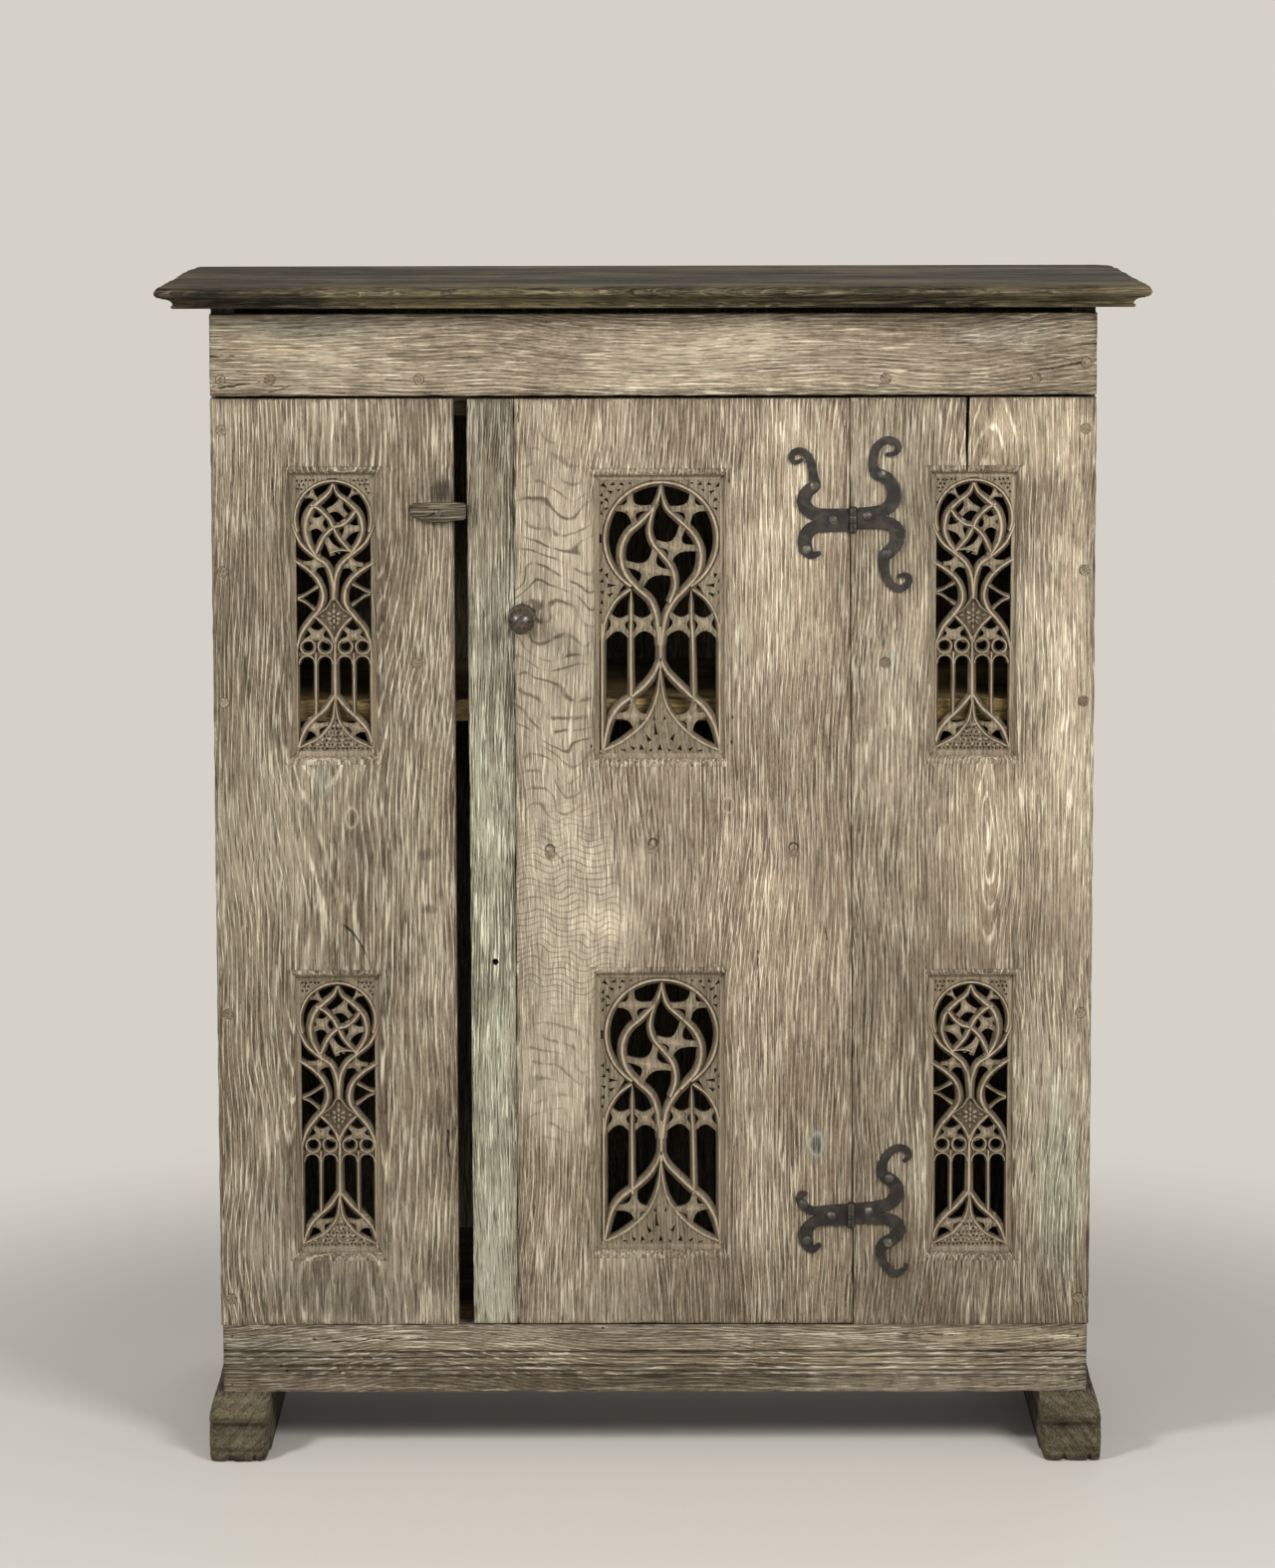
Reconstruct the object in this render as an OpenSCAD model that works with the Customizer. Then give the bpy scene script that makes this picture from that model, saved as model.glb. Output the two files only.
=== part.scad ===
// Sacristy cupboard of boarded oak. Four boards and two rails make the front, with six pierced
// tracery panels let in from behind. The middle is a planked door on two scrolled iron hinges.
// Millimetres. The origin is the middle of the floor under the whole object, +Z is up, and the
// front faces -Y. A depth is counted backwards from the face of the front boards.

/* [Case] */
// Width over the two side boards
case_w = 1050; // [940:5:1300]
// Depth from the face of the front boards to the outside of the back planks
case_d = 450; // [340:5:620]
// Height of the top surface above the floor
case_h = 1412; // [1340:1:1500]
// Thickness of the front boards and the two rails
front_t = 28; // [26:0.5:36]
// Thickness of the side boards
side_t = 28; // [20:0.5:40]
// Thickness of the back planks
back_t = 18; // [12:0.5:26]
// Depth of the lapped joint between planks of the sides and back
plank_lap = 12; // [8:1:20]
// Width of the rear plank of each side
side_rear_w = 180; // [120:5:220]

/* [Top board] */
// Thickness of the top board
top_t = 26; // [22:0.5:36]
// How far the top board stands out past each side
top_out_side = 60; // [30:1:90]
// How far the top board stands out past the front
top_out_front = 60; // [30:1:90]
// Height of the rounded nosing
nosing_h = 13; // [9:0.5:14]
// How far the small bead under the edge is set back from the nosing
bead_set = 19; // [14:0.5:26]
// Radius of the small bead
bead_r = 2; // [1.5:0.25:3]
// Open joint between the top rail and the top board
shadow_gap = 9; // [3:0.5:14]

/* [Rails] */
// Height of the top rail
top_rail_h = 96.5; // [70:0.5:130]
// Height of the moulded bottom rail
bottom_rail_h = 83.5; // [76:0.5:110]
// Open joint between the top rail and the boards below it
rail_joint = 3.5; // [1:0.5:6]
// Height of the first groove above the bottom rail's lower edge
reed_start = 18; // [10:0.5:24]
// Depth of the grooves of the reeded band
reed_depth = 2.2; // [1:0.1:4]

/* [Feet] */
// Width of each runner foot
foot_w = 73; // [60:1:95]
// Height of the foot under the bottom rail
foot_h = 71; // [60:1:90]
// Height of the housing for the side board above the rail's lower edge
foot_lip = 23; // [14:1:30]
// How far the toe stands out in front of the rail
toe_out = 64; // [50:1:90]
// How far the foot flares out past the side
foot_flare = 14; // [8:1:20]
// How deep the side board is let into the foot below the rail's lower edge
side_housing = 15; // [8:1:25]

/* [Front boards] */
// Width of the left fixed board
left_board_w = 288; // [262:1:300]
// Width of the right fixed board
right_board_w = 288; // [262:1:300]
// How far the seam by the hinges leans from the upright, at each end
seam_lean = 4; // [0:0.25:5]
// Width of the drying crack in the right board
crack_w = 4.5; // [2:0.5:7]

/* [Door] */
// Thickness of the door planks
door_t = 26; // [25:0.5:27]
// Gap between the door and the right board
door_gap_right = 1.2; // [0.8:0.1:3]
// Gap under the door
door_gap_bottom = 1.5; // [0.8:0.1:4]
// How much the door's free edge falls away at the top
door_wane_top = 0.6; // [0:0.1:3]
// How much the door's free edge falls away at the bottom
door_wane_bottom = 2.6; // [0:0.1:6]
// How much the door's free edge is bevelled towards its back, so that it clears the latch
door_bevel = 2; // [1.2:0.1:5]
// Width of the narrow plank at the latch
narrow_plank_w = 56; // [46:1:60]
// Joint between the narrow plank and the wide plank
plank_joint = 0.3; // [0.2:0.1:1]
// Width of the battens behind the door
door_batten_h = 46; // [36:1:52]
// Thickness of the battens behind the door
door_batten_t = 22; // [16:1:28]
// Place of the middle batten between the lower and the upper opening, as a share of the distance
middle_batten_share = 0.582; // [0.35:0.001:0.65]

/* [Tracery] */
// Height of each pierced opening
tracery_h = 339; // [310:1:345]
// Width of the pierced openings in the fixed boards
side_tracery_w = 101; // [80:1:120]
// Width of the pierced openings in the door
door_tracery_w = 155; // [130:1:175]
// Distance from the boards' lower edge up to the lower openings
lower_window_lift = 88; // [84:0.5:94]
// Distance from the boards' upper edge down to the upper openings
upper_window_drop = 89.5; // [84:0.5:100]
// How much lower the door's upper opening is set than the boards'
door_sill_drop = 3; // [0:0.5:4]
// Thickness of the tracery panels
panel_t = 12; // [10:0.5:13]
// Depth of the panels' face behind the boards' face
panel_set = 9; // [8:0.5:10]
// Width of the panel's edge that lies hidden in the rebate
rebate = 8; // [6:0.5:8.5]
// Width of the moulding cut round each opening
moulding_w = 8; // [5:0.5:10]
// Depth of the moulding's outer step
quirk = 1.2; // [0.6:0.1:1.5]
// Half width of a main tracery bar
bar_half = 3.5; // [3.2:0.1:4]
// Half width of a cusp or a slender mullion
cusp_half = 2.1; // [1.9:0.1:2.6]
// Width of the flat border inside the opening
rim_edge = 6; // [4:0.5:8]
// Height of a bar's shoulder above the panel's back
shoulder_h = 5.5; // [4:0.5:7]
// Height of the carved ground above the panel's back
ground_h = 8.5; // [7.5:0.5:9.5]
// How far the bars' sharp ridges stay below the panel's face
ridge_drop = 0.6; // [0.3:0.1:1.5]

/* [Inside] */
// Height of the shelf's top surface above the sill of the upper openings
shelf_lift = 65; // [40:1:80]
// Thickness of the shelf
shelf_t = 26; // [18:1:32]
// Distance from the shelf's front edge to the back of the front boards
shelf_set = 6; // [2:1:30]
// Height of the bottom board's top surface above the front boards' lower edge
floor_lift = 18; // [12:1:22]
// Thickness of the bottom board
floor_t = 26; // [18:1:30]
// Width of the cleats under the shelf and the bottom board
cleat_w = 30; // [20:1:40]
// Height of the cleats
cleat_h = 34; // [24:1:40]
// Thickness of the inner batten that ties the top rail to the boards
tie_t = 22; // [16:1:30]

/* [Hinges] */
// Distance from the boards' upper edge down to the upper hinge's centre
upper_hinge_drop = 144.5; // [130:0.5:170]
// Distance from the boards' lower edge up to the lower hinge's centre
lower_hinge_lift = 136; // [120:0.5:170]
// Thickness of the iron leaves
leaf_t = 3; // [2:0.25:4]
// Outside radius of the knuckles
knuckle_r = 4.9; // [4.5:0.1:6]
// Radius of the hinge pins
hinge_pin_r = 2.4; // [2:0.1:2.8]
// Height of the three knuckles together
knuckle_h = 28; // [24:0.5:34]
// Radius of the hinge nails' round heads
nail_head_r = 6; // [4:0.25:6.5]
// Radius of the nails' shanks
nail_r = 1.8; // [1.4:0.1:2.2]

/* [Knob] */
// Distance from the boards' upper edge down to the knob
knob_drop = 260; // [230:1:300]
// Distance from the plank joint to the knob's axis
knob_in = 9; // [8:0.5:24]
// Radius of the knob's ball
knob_ball_r = 16.5; // [13:0.5:20]
// How far the knob stands out from the door
knob_out = 60; // [46:1:63]
// Radius of the knob's shank in the door
knob_shank_r = 6.5; // [5:0.25:7]

/* [Turn button] */
// Distance from the boards' upper edge down to the turn button's nail
button_drop = 135; // [110:1:160]
// How far the turn button reaches past the left board's inner edge
button_over = 15; // [8:0.5:20]
// Gap between the turn button's tip and the door's edge
latch_gap = 0.8; // [0.5:0.1:2]
// Length of the turn button
button_len = 66; // [56:1:76]
// Thickness of the turn button
button_t = 10; // [7:0.5:13]

/* [Pegs and nails] */
// Radius of the wooden pegs
peg_r = 6; // [4:0.5:8]
// How far the pegs stand proud of the wood
peg_proud = 0.6; // [0:0.1:1.5]
// How far a peg goes into the piece behind
peg_bite = 26; // [16:1:32]
// Distance of the edge pegs from the outside of the case
peg_edge = 13; // [10:0.5:15]
// Radius of the empty peg hole in the narrow plank
empty_hole_r = 4; // [2.5:0.25:6]

/* [Clearances] */
// Radial play of a pin that turns
running_fit = 0.06; // [0.02:0.01:0.1]
// Radial play of a driven peg or nail
drive_fit = 0.04; // [0.02:0.01:0.08]
// Distance kept between pieces that move past each other
body_gap = 0.4; // [0.3:0.05:0.8]

/* [Hidden] */
$fn = 48;

front_colour = "#948774";
door_colour = "#8d806d";
tracery_colour = "#8a7558";
dark_colour = "#3d3a33";
foot_colour = "#4b4536";
inner_colour = "#66563f";
iron_colour = "#201e1c";
knob_colour = "#33271e";
peg_colour = "#7a6c58";

// Tiny overrun, so that a cut goes right through a face
over = 1;

// Upright and depth positions of the case
knob_reach = knob_out;
front_reach = max(toe_out, top_out_front, knob_reach);
front_y = (front_reach - case_d) / 2;
back_y = front_y + case_d;
side_in = case_w / 2 - side_t;
inner_front = front_y + front_t;
inner_back = back_y - back_t;
top_z = case_h - top_t;
rail_top_z = top_z - shadow_gap;
rail_low_z = rail_top_z - top_rail_h;
boards_top_z = rail_low_z - rail_joint;
boards_low_z = foot_h + bottom_rail_h;
lip_z = foot_h + foot_lip;
side_low_z = foot_h - side_housing;
back_planks = 4;

// Heights of the openings, the shelf, the hinges, the knob and the turn button
lower_sill = boards_low_z + lower_window_lift;
upper_sill = boards_top_z - upper_window_drop - tracery_h;
window_between = upper_sill - lower_sill - tracery_h;
middle_batten_z = lower_sill + tracery_h + window_between * middle_batten_share;
shelf_z = upper_sill + shelf_lift;
floor_z = boards_low_z + floor_lift;
upper_hinge_z = boards_top_z - upper_hinge_drop;
lower_hinge_z = boards_low_z + lower_hinge_lift;
knob_z = boards_top_z - knob_drop;
button_z = boards_top_z - button_drop;

// The seams of the front
left_edge_x = -case_w / 2 + left_board_w;
hinge_x = case_w / 2 - right_board_w;
hinge_y = front_y - knuckle_r - body_gap;
door_low_z = boards_low_z + door_gap_bottom;
door_left_x = left_edge_x + button_over + latch_gap;
plank_x = door_left_x + narrow_plank_w;
door_mid_x = (left_edge_x + hinge_x) / 2 + 7;
knob_x = plank_x + knob_in;
button_x = left_edge_x + button_over - button_len / 2;
left_tracery_x = -case_w / 2 + left_board_w / 2;
right_tracery_x = case_w / 2 - right_board_w / 2;
door_upper_sill = upper_sill - door_sill_drop;
door_lower_sill = lower_sill + door_sill_drop;

// Battens and cleats
tie_low_z = boards_top_z - tie_t;
tie_high_z = rail_low_z + tie_t * 1.8;
door_top_batten_z = tie_low_z - body_gap - 6 - door_batten_h / 2;
door_bottom_batten_z = floor_z + body_gap + 6 + door_batten_h / 2;
batten_left_x = door_left_x + 12;
batten_right_x = hinge_x - seam_lean - 14;
shelf_y = inner_front + shelf_set;

// Heights of the wooden pegs down both edges of the front, and where the others are
board_h = boards_top_z - boards_low_z;
edge_peg_shares = [0.967, 0.817, 0.677, 0.341, 0.029];
edge_peg_z = [for (share = edge_peg_shares) boards_low_z + board_h * share];
rail_peg_z = rail_low_z + top_rail_h * 0.2;
rail_peg_raised_z = rail_low_z + top_rail_h * 0.39;
rail_peg_x = [peg_edge - case_w / 2, -0.432 * case_w, -0.264 * case_w, 0.262 * case_w, 0.431 * case_w];
plug_x = [left_edge_x - left_board_w * 0.156, hinge_x + right_board_w * 0.135];
plug_z = upper_sill + tracery_h / 3;
plug_depth = front_t / 2;
// Pegs that show on the door's face, as [x, height over the middle batten's centre]
door_peg_places = [[0.102, -0.13], [0.408, 0], [0.826, -0.09]];
door_front_pegs = [for (p = door_peg_places) [plank_x + (hinge_x - plank_x) * p[0], door_batten_h * p[1]]];
hole_z = lower_sill + tracery_h + window_between * 0.07;

// Pegs from the top board into the side boards, and nails through the back planks
top_peg_depths = [case_d * 0.156, case_d * 0.489, case_d * 0.833];
back_nail_heights = [shelf_z - shelf_t / 2, floor_z - floor_t / 2];
back_corner_nail_heights = [for (share = [0.1, 0.4, 0.85]) case_h * share];
back_nail_bite = side_t * 0.8;

/* Helpers for curves: a curve runs through the points of p with n steps between two of them, and
   carries any further column, such as a half width, along with it. */
function knot(p, i) = p[min(max(i, 0), len(p) - 1)];
function between(a, b, c, d, t) =
    0.5 * (2 * b + (c - a) * t + (2 * a - 5 * b + 4 * c - d) * t * t + (3 * b - a - 3 * c + d) * t * t * t);
function curve(p, n) = [
    for (i = [0 : len(p) - 2])
        for (k = [0 : n - 1])
            between(knot(p, i - 1), p[i], p[i + 1], knot(p, i + 2), k / n),
    p[len(p) - 1]
];
function arc(centre, rx, rz, from, to, n) = [
    for (i = [0 : n]) centre + [rx * cos(from + (to - from) * i / n), rz * sin(from + (to - from) * i / n)]
];
function backwards(p) = [for (i = [len(p) - 1 : -1 : 0]) p[i]];
function mirrored(p) = [for (q = p) [-q[0], q[1]]];
function moved(p, v) = [for (q = p) q + v];
function sized(p, k) = [for (q = p) [q[0] * k[0], q[1] * k[1]]];
function side_of(p, i) =
    let (d = knot(p, i + 1) - knot(p, i - 1))
    [-d[1], d[0]] / norm([d[0], d[1]]);

function edge_point(p, i, s) = [p[i][0], p[i][1]] + side_of(p, i) * p[i][2] * s;

// A flat strip along the points [x, z, half width] of p
module strip(p) {
    for (i = [0 : len(p) - 2])
        polygon([edge_point(p, i, 1), edge_point(p, i + 1, 1), edge_point(p, i + 1, -1), edge_point(p, i, -1)]);
}

// A (y, z) outline drawn out along X, centred
module along_x(length) {
    rotate([90, 0, 90])
        linear_extrude(length, center = true)
            children();
}

// An (x, z) outline drawn out backwards along Y, from y
module along_y(y, length) {
    translate([0, y + length, 0])
        rotate([90, 0, 0])
            linear_extrude(length)
                children();
}

// An (x, y) outline drawn up along Z, from z
module along_z(z, length) {
    translate([0, 0, z])
        linear_extrude(length)
            children();
}

// A box between two corners
module block(low, high) {
    translate(low)
        cube(high - low);
}

// A round rod along Y between two depths
module rod(x, z, r, y, length) {
    translate([x, y, z])
        rotate([-90, 0, 0])
            cylinder(r = r, h = length);
}

/* Top board: its section across the front and its section across the ends meet in mitres. */

// The moulded edge from its foot upwards, as [setback from the nosing, height]
function edge_profile() = concat(
    arc([bead_set + bead_r, bead_r], bead_r, bead_r, 270, 90, 6),
    arc([cavetto_out, bead_r * 2 + 0.6], bead_set + bead_r - cavetto_out, cavetto_h, 0, 90, 6),
    [[cavetto_out, nosing_low]],
    arc([nosing_r, nosing_low + nosing_r], nosing_r, nosing_r, 268, 90, 9)
);
nosing_r = nosing_h / 2;
nosing_low = top_t - nosing_h;
cavetto_out = 8;
cavetto_h = nosing_low - bead_r * 2 - 1.6;

module top_board() {
    half = case_w / 2 + top_out_side;
    nose_y = front_y - top_out_front;
    right = [for (p = edge_profile()) [half - p[0], p[1]]];
    front = [for (p = edge_profile()) [nose_y + p[0], p[1]]];
    color(dark_colour)
        difference() {
            translate([0, 0, top_z])
                intersection() {
                    along_x(2 * half + over)
                        polygon(concat(front, [[back_y, top_t], [back_y, 0]]));
                    along_y(nose_y - over, back_y - nose_y + 2 * over)
                        polygon(concat(right, backwards(mirrored(right))));
                }
            top_peg_rods(drive_fit, over);
        }
}

/* Front rails and boards */

module top_rail() {
    color(front_colour)
        difference() {
            block([-case_w / 2, front_y, rail_low_z], [case_w / 2, inner_front, rail_top_z]);
            rail_pegs(drive_fit, over);
        }
}

// Heights of the reeded band: two beads either side of a shallow hollow
reed_heights = [0, 6.6, 13.7, 23.9, 31.6];

function reed_face() = concat(
    [[0, 0], [0, reed_start]],
    reed_bead(0), reed_bead(1), reed_hollow(2), reed_bead(3),
    [[0, reed_start + reed_heights[4] + 1], [0, bottom_rail_h]]
);
function reed_low(i) = reed_start + reed_heights[i] + 0.7;
function reed_high(i) = reed_start + reed_heights[i + 1] - 0.7;
function reed_mid(i) = (reed_low(i) + reed_high(i)) / 2;
function reed_bead(i) = arc([reed_depth, reed_mid(i)], reed_depth, (reed_high(i) - reed_low(i)) / 2, 270, 90, 6);
function reed_hollow(i) =
    concat([[0.4, reed_low(i)]],
        arc([0.4, reed_mid(i)], reed_depth * 0.6, (reed_high(i) - reed_low(i)) / 2 - 1, -80, 80, 6),
        [[0.4, reed_high(i)]]);

module bottom_rail() {
    face = moved(reed_face(), [front_y, foot_h]);
    color(front_colour)
        difference() {
            along_x(case_w - 4)
                polygon(concat(face, [[inner_front, boards_low_z], [inner_front, foot_h]]));
            rail_nail_rods(drive_fit, over);
        }
}

// Quarter round of the moulding, as [distance outside the opening, depth]
function moulding_line() = concat(
    [[moulding_w + quirk, -over], [moulding_w + quirk, quirk]],
    arc([moulding_w, panel_set - 1], moulding_w, panel_set - 1 - quirk, -90, -180, 6),
    [[0, panel_set + over]]
);
function moulding_across(half) =
    let (edge = [for (p = moulding_line()) [half + p[0], p[1]]])
    concat(edge, backwards(mirrored(edge)));

// What is cut from a board for one tracery panel: the moulded opening, and the rebate behind it
module window_cut(x, sill, w, thick) {
    middle = sill + tracery_h / 2;
    across = moulding_across(w / 2);
    up = [for (p = moulding_across(tracery_h / 2)) [p[1], p[0]]];
    translate([x, front_y, middle])
        intersection() {
            along_x(w + 4 * moulding_w)
                polygon(up);
            translate([0, 0, -tracery_h / 2 - 2 * moulding_w])
                linear_extrude(tracery_h + 4 * moulding_w)
                    polygon(across);
        }
    block(
        [x - w / 2 - rebate, front_y + panel_set, sill - rebate],
        [x + w / 2 + rebate, front_y + thick + over, sill + tracery_h + rebate]
    );
}

module left_front_board() {
    color(front_colour)
        difference() {
            block([-case_w / 2, front_y, boards_low_z], [left_edge_x, inner_front, boards_top_z]);
            window_cut(left_tracery_x, upper_sill, side_tracery_w, front_t);
            window_cut(left_tracery_x, lower_sill, side_tracery_w, front_t);
            board_pegs(drive_fit, over);
            button_nail_hole();
        }
}

module right_front_board() {
    crack_x = right_tracery_x - 9;
    crack_low = upper_sill + tracery_h - over;
    color(front_colour)
        difference() {
            along_y(front_y, front_t)
                polygon([
                    [hinge_x + seam_lean, boards_low_z], [case_w / 2, boards_low_z],
                    [case_w / 2, boards_top_z], [hinge_x - seam_lean, boards_top_z]
                ]);
            window_cut(right_tracery_x, upper_sill, side_tracery_w, front_t);
            window_cut(right_tracery_x, lower_sill, side_tracery_w, front_t);
            along_y(front_y - over, front_t + 2 * over)
                polygon([
                    [crack_x - crack_w / 2 + 1, boards_top_z + over], [crack_x - crack_w / 2, boards_top_z - 35],
                    [crack_x - crack_w / 4, crack_low], [crack_x + crack_w / 4, crack_low],
                    [crack_x + crack_w / 3, boards_top_z - 50], [crack_x + crack_w / 2 + 1, boards_top_z + over]
                ]);
            board_pegs(drive_fit, over);
            hinge_nail_rods(upper_board_nails, upper_hinge_z, drive_fit);
            hinge_nail_rods(lower_board_nails, lower_hinge_z, drive_fit);
        }
}

/* Sides, back and inside */

// Each side is two planks with a lapped joint between them
module side_front_plank(side) {
    joint_y = inner_back - side_rear_w;
    color(front_colour)
        difference() {
            along_z(side_low_z, top_z - side_low_z)
                scale([side, 1])
                    polygon([
                        [side_in, inner_front], [case_w / 2, inner_front], [case_w / 2, joint_y],
                        [side_in + side_t / 2, joint_y], [side_in + side_t / 2, joint_y + plank_lap],
                        [side_in, joint_y + plank_lap]
                    ]);
            board_pegs(drive_fit, 0);
            rail_pegs(drive_fit, 0);
            rail_nail_rods(drive_fit, 0);
            top_peg_rods(drive_fit, 0);
        }
}

module side_rear_plank(side) {
    joint_y = inner_back - side_rear_w;
    color(front_colour)
        difference() {
            along_z(side_low_z, top_z - side_low_z)
                scale([side, 1])
                    polygon([
                        [side_in, joint_y + plank_lap], [side_in + side_t / 2, joint_y + plank_lap],
                        [side_in + side_t / 2, joint_y], [case_w / 2, joint_y],
                        [case_w / 2, inner_back], [side_in, inner_back]
                    ]);
            top_peg_rods(drive_fit, 0);
            back_nail_rods(drive_fit, 0);
        }
}

// A plank of the back, counted from the left seen from the front, lapped over its neighbour
module back_plank(i) {
    pitch = case_w / back_planks;
    low_x = -case_w / 2 + i * pitch;
    high_x = low_x + pitch;
    lap_low = i == 0 ? 0 : plank_lap;
    lap_high = i == back_planks - 1 ? 0 : plank_lap;
    half_y = inner_back + back_t / 2;
    gap = i == back_planks - 1 ? 0 : 0.6;
    color(front_colour)
        difference() {
            along_z(lip_z, top_z - lip_z)
                polygon([
                    [low_x, inner_back], [high_x - lap_high - gap, inner_back],
                    [high_x - lap_high - gap, half_y], [high_x - gap, half_y],
                    [high_x - gap, back_y], [low_x, back_y],
                    [low_x, half_y], [low_x - lap_low, half_y], [low_x - lap_low, inner_back]
                ]);
            back_nail_rods(drive_fit, over);
        }
}

module top_tie_batten() {
    color(inner_colour)
        difference() {
            block([-side_in, inner_front, tie_low_z], [side_in, inner_front + tie_t, tie_high_z]);
            rail_pegs(drive_fit, 0);
            board_pegs(drive_fit, 0);
        }
}

module bottom_board() {
    color(inner_colour)
        difference() {
            block([-side_in, inner_front, floor_z - floor_t], [side_in, inner_back, floor_z]);
            rail_nail_rods(drive_fit, 0);
            back_nail_rods(drive_fit, 0);
        }
}

module shelf() {
    color(inner_colour)
        difference() {
            block([-side_in, shelf_y, shelf_z - shelf_t], [side_in, inner_back, shelf_z]);
            back_nail_rods(drive_fit, 0);
        }
}

// A cleat on the inside of a side, under a board whose underside is at z, with a chamfered front
module cleat(side, z) {
    nose = cleat_h * 0.6;
    color(inner_colour)
        translate([side * (side_in - cleat_w / 2), 0, 0])
            along_x(cleat_w)
                polygon([
                    [shelf_y, z], [inner_back, z], [inner_back, z - cleat_h],
                    [shelf_y + nose, z - cleat_h], [shelf_y, z - cleat_h + nose]
                ]);
}

/* Feet: a runner under each side, with a moulded toe in front */

toe_line = [
    [0, 70], [-14, 68.5], [-28, 62], [-37, 51], [-35.5, 43], [-41, 36.5], [-53, 28.5], [-61, 16],
    [-63, 10], [-60, 0]
];

function toe_profile() = [
    for (p = curve(toe_line, 4)) [front_y + p[0] * toe_out / 63, p[1] * foot_h / 70]
];

module foot(side) {
    outer = case_w / 2 + foot_flare;
    color(foot_colour)
        scale([side, 1, 1])
            difference() {
                translate([outer - foot_w / 2, 0, 0])
                    along_x(foot_w)
                        polygon(concat(
                            toe_profile(),
                            [[back_y, 0], [back_y, lip_z], [inner_front, lip_z], [inner_front, foot_h]]
                        ));
                block([side_in, inner_front, side_low_z], [case_w / 2, inner_back, lip_z + over]);
                along_y(front_y - toe_out - over, case_d + toe_out + 2 * over)
                    polygon([
                        [case_w / 2 + 1.2, lip_z + over], [case_w / 2 + 1.5, lip_z], [case_w / 2 + 5, foot_h + 8],
                        [case_w / 2 + 11, foot_h - 10], [outer, foot_h - 26], [outer + over, foot_h - 26],
                        [outer + over, lip_z + over]
                    ]);
            }
}

/* Tracery. A panel is drawn at a set size, [x, z] from the middle of its sill, and its points are
   stretched to the opening. Its bars are cut down in steps, as a carver roughs out a hollow
   chamfer, so each layer is the same pattern drawn in a little further. */

side_drawn = [101, 334];
door_drawn = [155, 334];

// A carved bar along the points of p
module bar(p, half) {
    strip([for (q = p) [q[0], q[1], half]]);
}

// A cusp: prongs that start from a knot and narrow to their tips
module cusp(centre, tips) {
    translate(centre)
        circle(r = cusp_half * 1.5, $fn = 8);
    for (tip = tips)
        strip([
            [centre[0], centre[1], cusp_half * 1.3],
            [(centre[0] + tip[0]) / 2, (centre[1] + tip[1]) / 2, cusp_half * 0.9],
            [tip[0], tip[1], cusp_half]
        ]);
}

// A small round eye
module eye(centre, r) {
    translate(centre)
        difference() {
            circle(r = r + cusp_half, $fn = 16);
            circle(r = r - cusp_half, $fn = 16);
        }
}

// The pattern of the four narrow panels. Bars on the left half are repeated on the right
side_ring_z = 280.5;
side_ring_r = 45;
side_sweep = [[-44.6, 268], [-36.5, 254.5], [-24.7, 243], [-12.9, 233.6], [-4.5, 219], [-0.6, 203], [0, 188]];
side_onion = [[0, 326], [-9.4, 307.6], [-24.7, 296], [-34.8, 281], [-36.4, 268], [-32, 254.5], [-23, 242]];
side_cross = [[-20, 296], [-10, 284], [0, 270.5], [7, 257], [21, 243]];
side_wave = [
    [-50, 245], [-34, 223], [-21.2, 212.8], [-13.2, 199.5], [-12.4, 187], [-18.5, 174.5], [-29.4, 162],
    [-38, 149], [-47, 132]
];
side_lozenge_top = [[0, 192], [-5, 178.5], [-20, 167.5]];
side_lozenge_low = [[-20, 169], [-9.4, 157], [-1.5, 141]];
side_foot = [[0, 84], [-4.2, 71.5], [-14, 62], [-27, 53], [-37.6, 39.3], [-43, 20], [-46, 4]];
side_gable = [[0, 80], [-1.2, 58], [-7.4, 41], [-20, 27.6], [-50, 13]];
side_mullion_x = 22;
side_eye_z = 133.5;
side_eye_r = 8.4;
side_eyes = [-31, -12.8, 12.8, 31];
side_cusps = [
    [[-37, 196.6], [[-48, 197], [-22, 204], [-24, 183]]],
    [[-26, 232], [[-37, 229], [-24, 243], [-20, 222]]],
    [[-22, 271], [[-34, 272], [-13, 262], [-12, 280]]],
    [[-24, 38], [[-36, 38], [-21, 51], [-14, 33], [-22, 28]]]
];

module side_bars(k) {
    bar(sized(arc([0, side_ring_z], side_ring_r, side_ring_r, -16, 196, 18), k), bar_half);
    for (s = [1, -1]) {
        m = [s * k[0], k[1]];
        bar(sized(curve(side_sweep, 2), m), bar_half);
        bar(sized(curve(side_onion, 2), m), bar_half);
        bar(sized(curve(side_cross, 2), m), bar_half - 0.4);
        bar(sized(curve(side_wave, 2), m), bar_half);
        bar(sized(curve(side_lozenge_top, 2), m), bar_half - 0.4);
        bar(sized(curve(side_lozenge_low, 2), m), bar_half - 0.4);
        bar(sized(curve(side_foot, 2), m), bar_half);
        bar(sized(curve(side_gable, 2), m), bar_half - 0.4);
        bar(sized([[-side_mullion_x, 122], [-side_mullion_x, 50]], m), cusp_half);
        for (c = side_cusps)
            cusp(sized([c[0]], m)[0], sized(c[1], m));
    }
    bar(sized([[0, 143], [0, 80]], k), bar_half);
    for (x = side_eyes)
        eye(sized([[x, side_eye_z]], k)[0], side_eye_r * k[0]);
}

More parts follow.
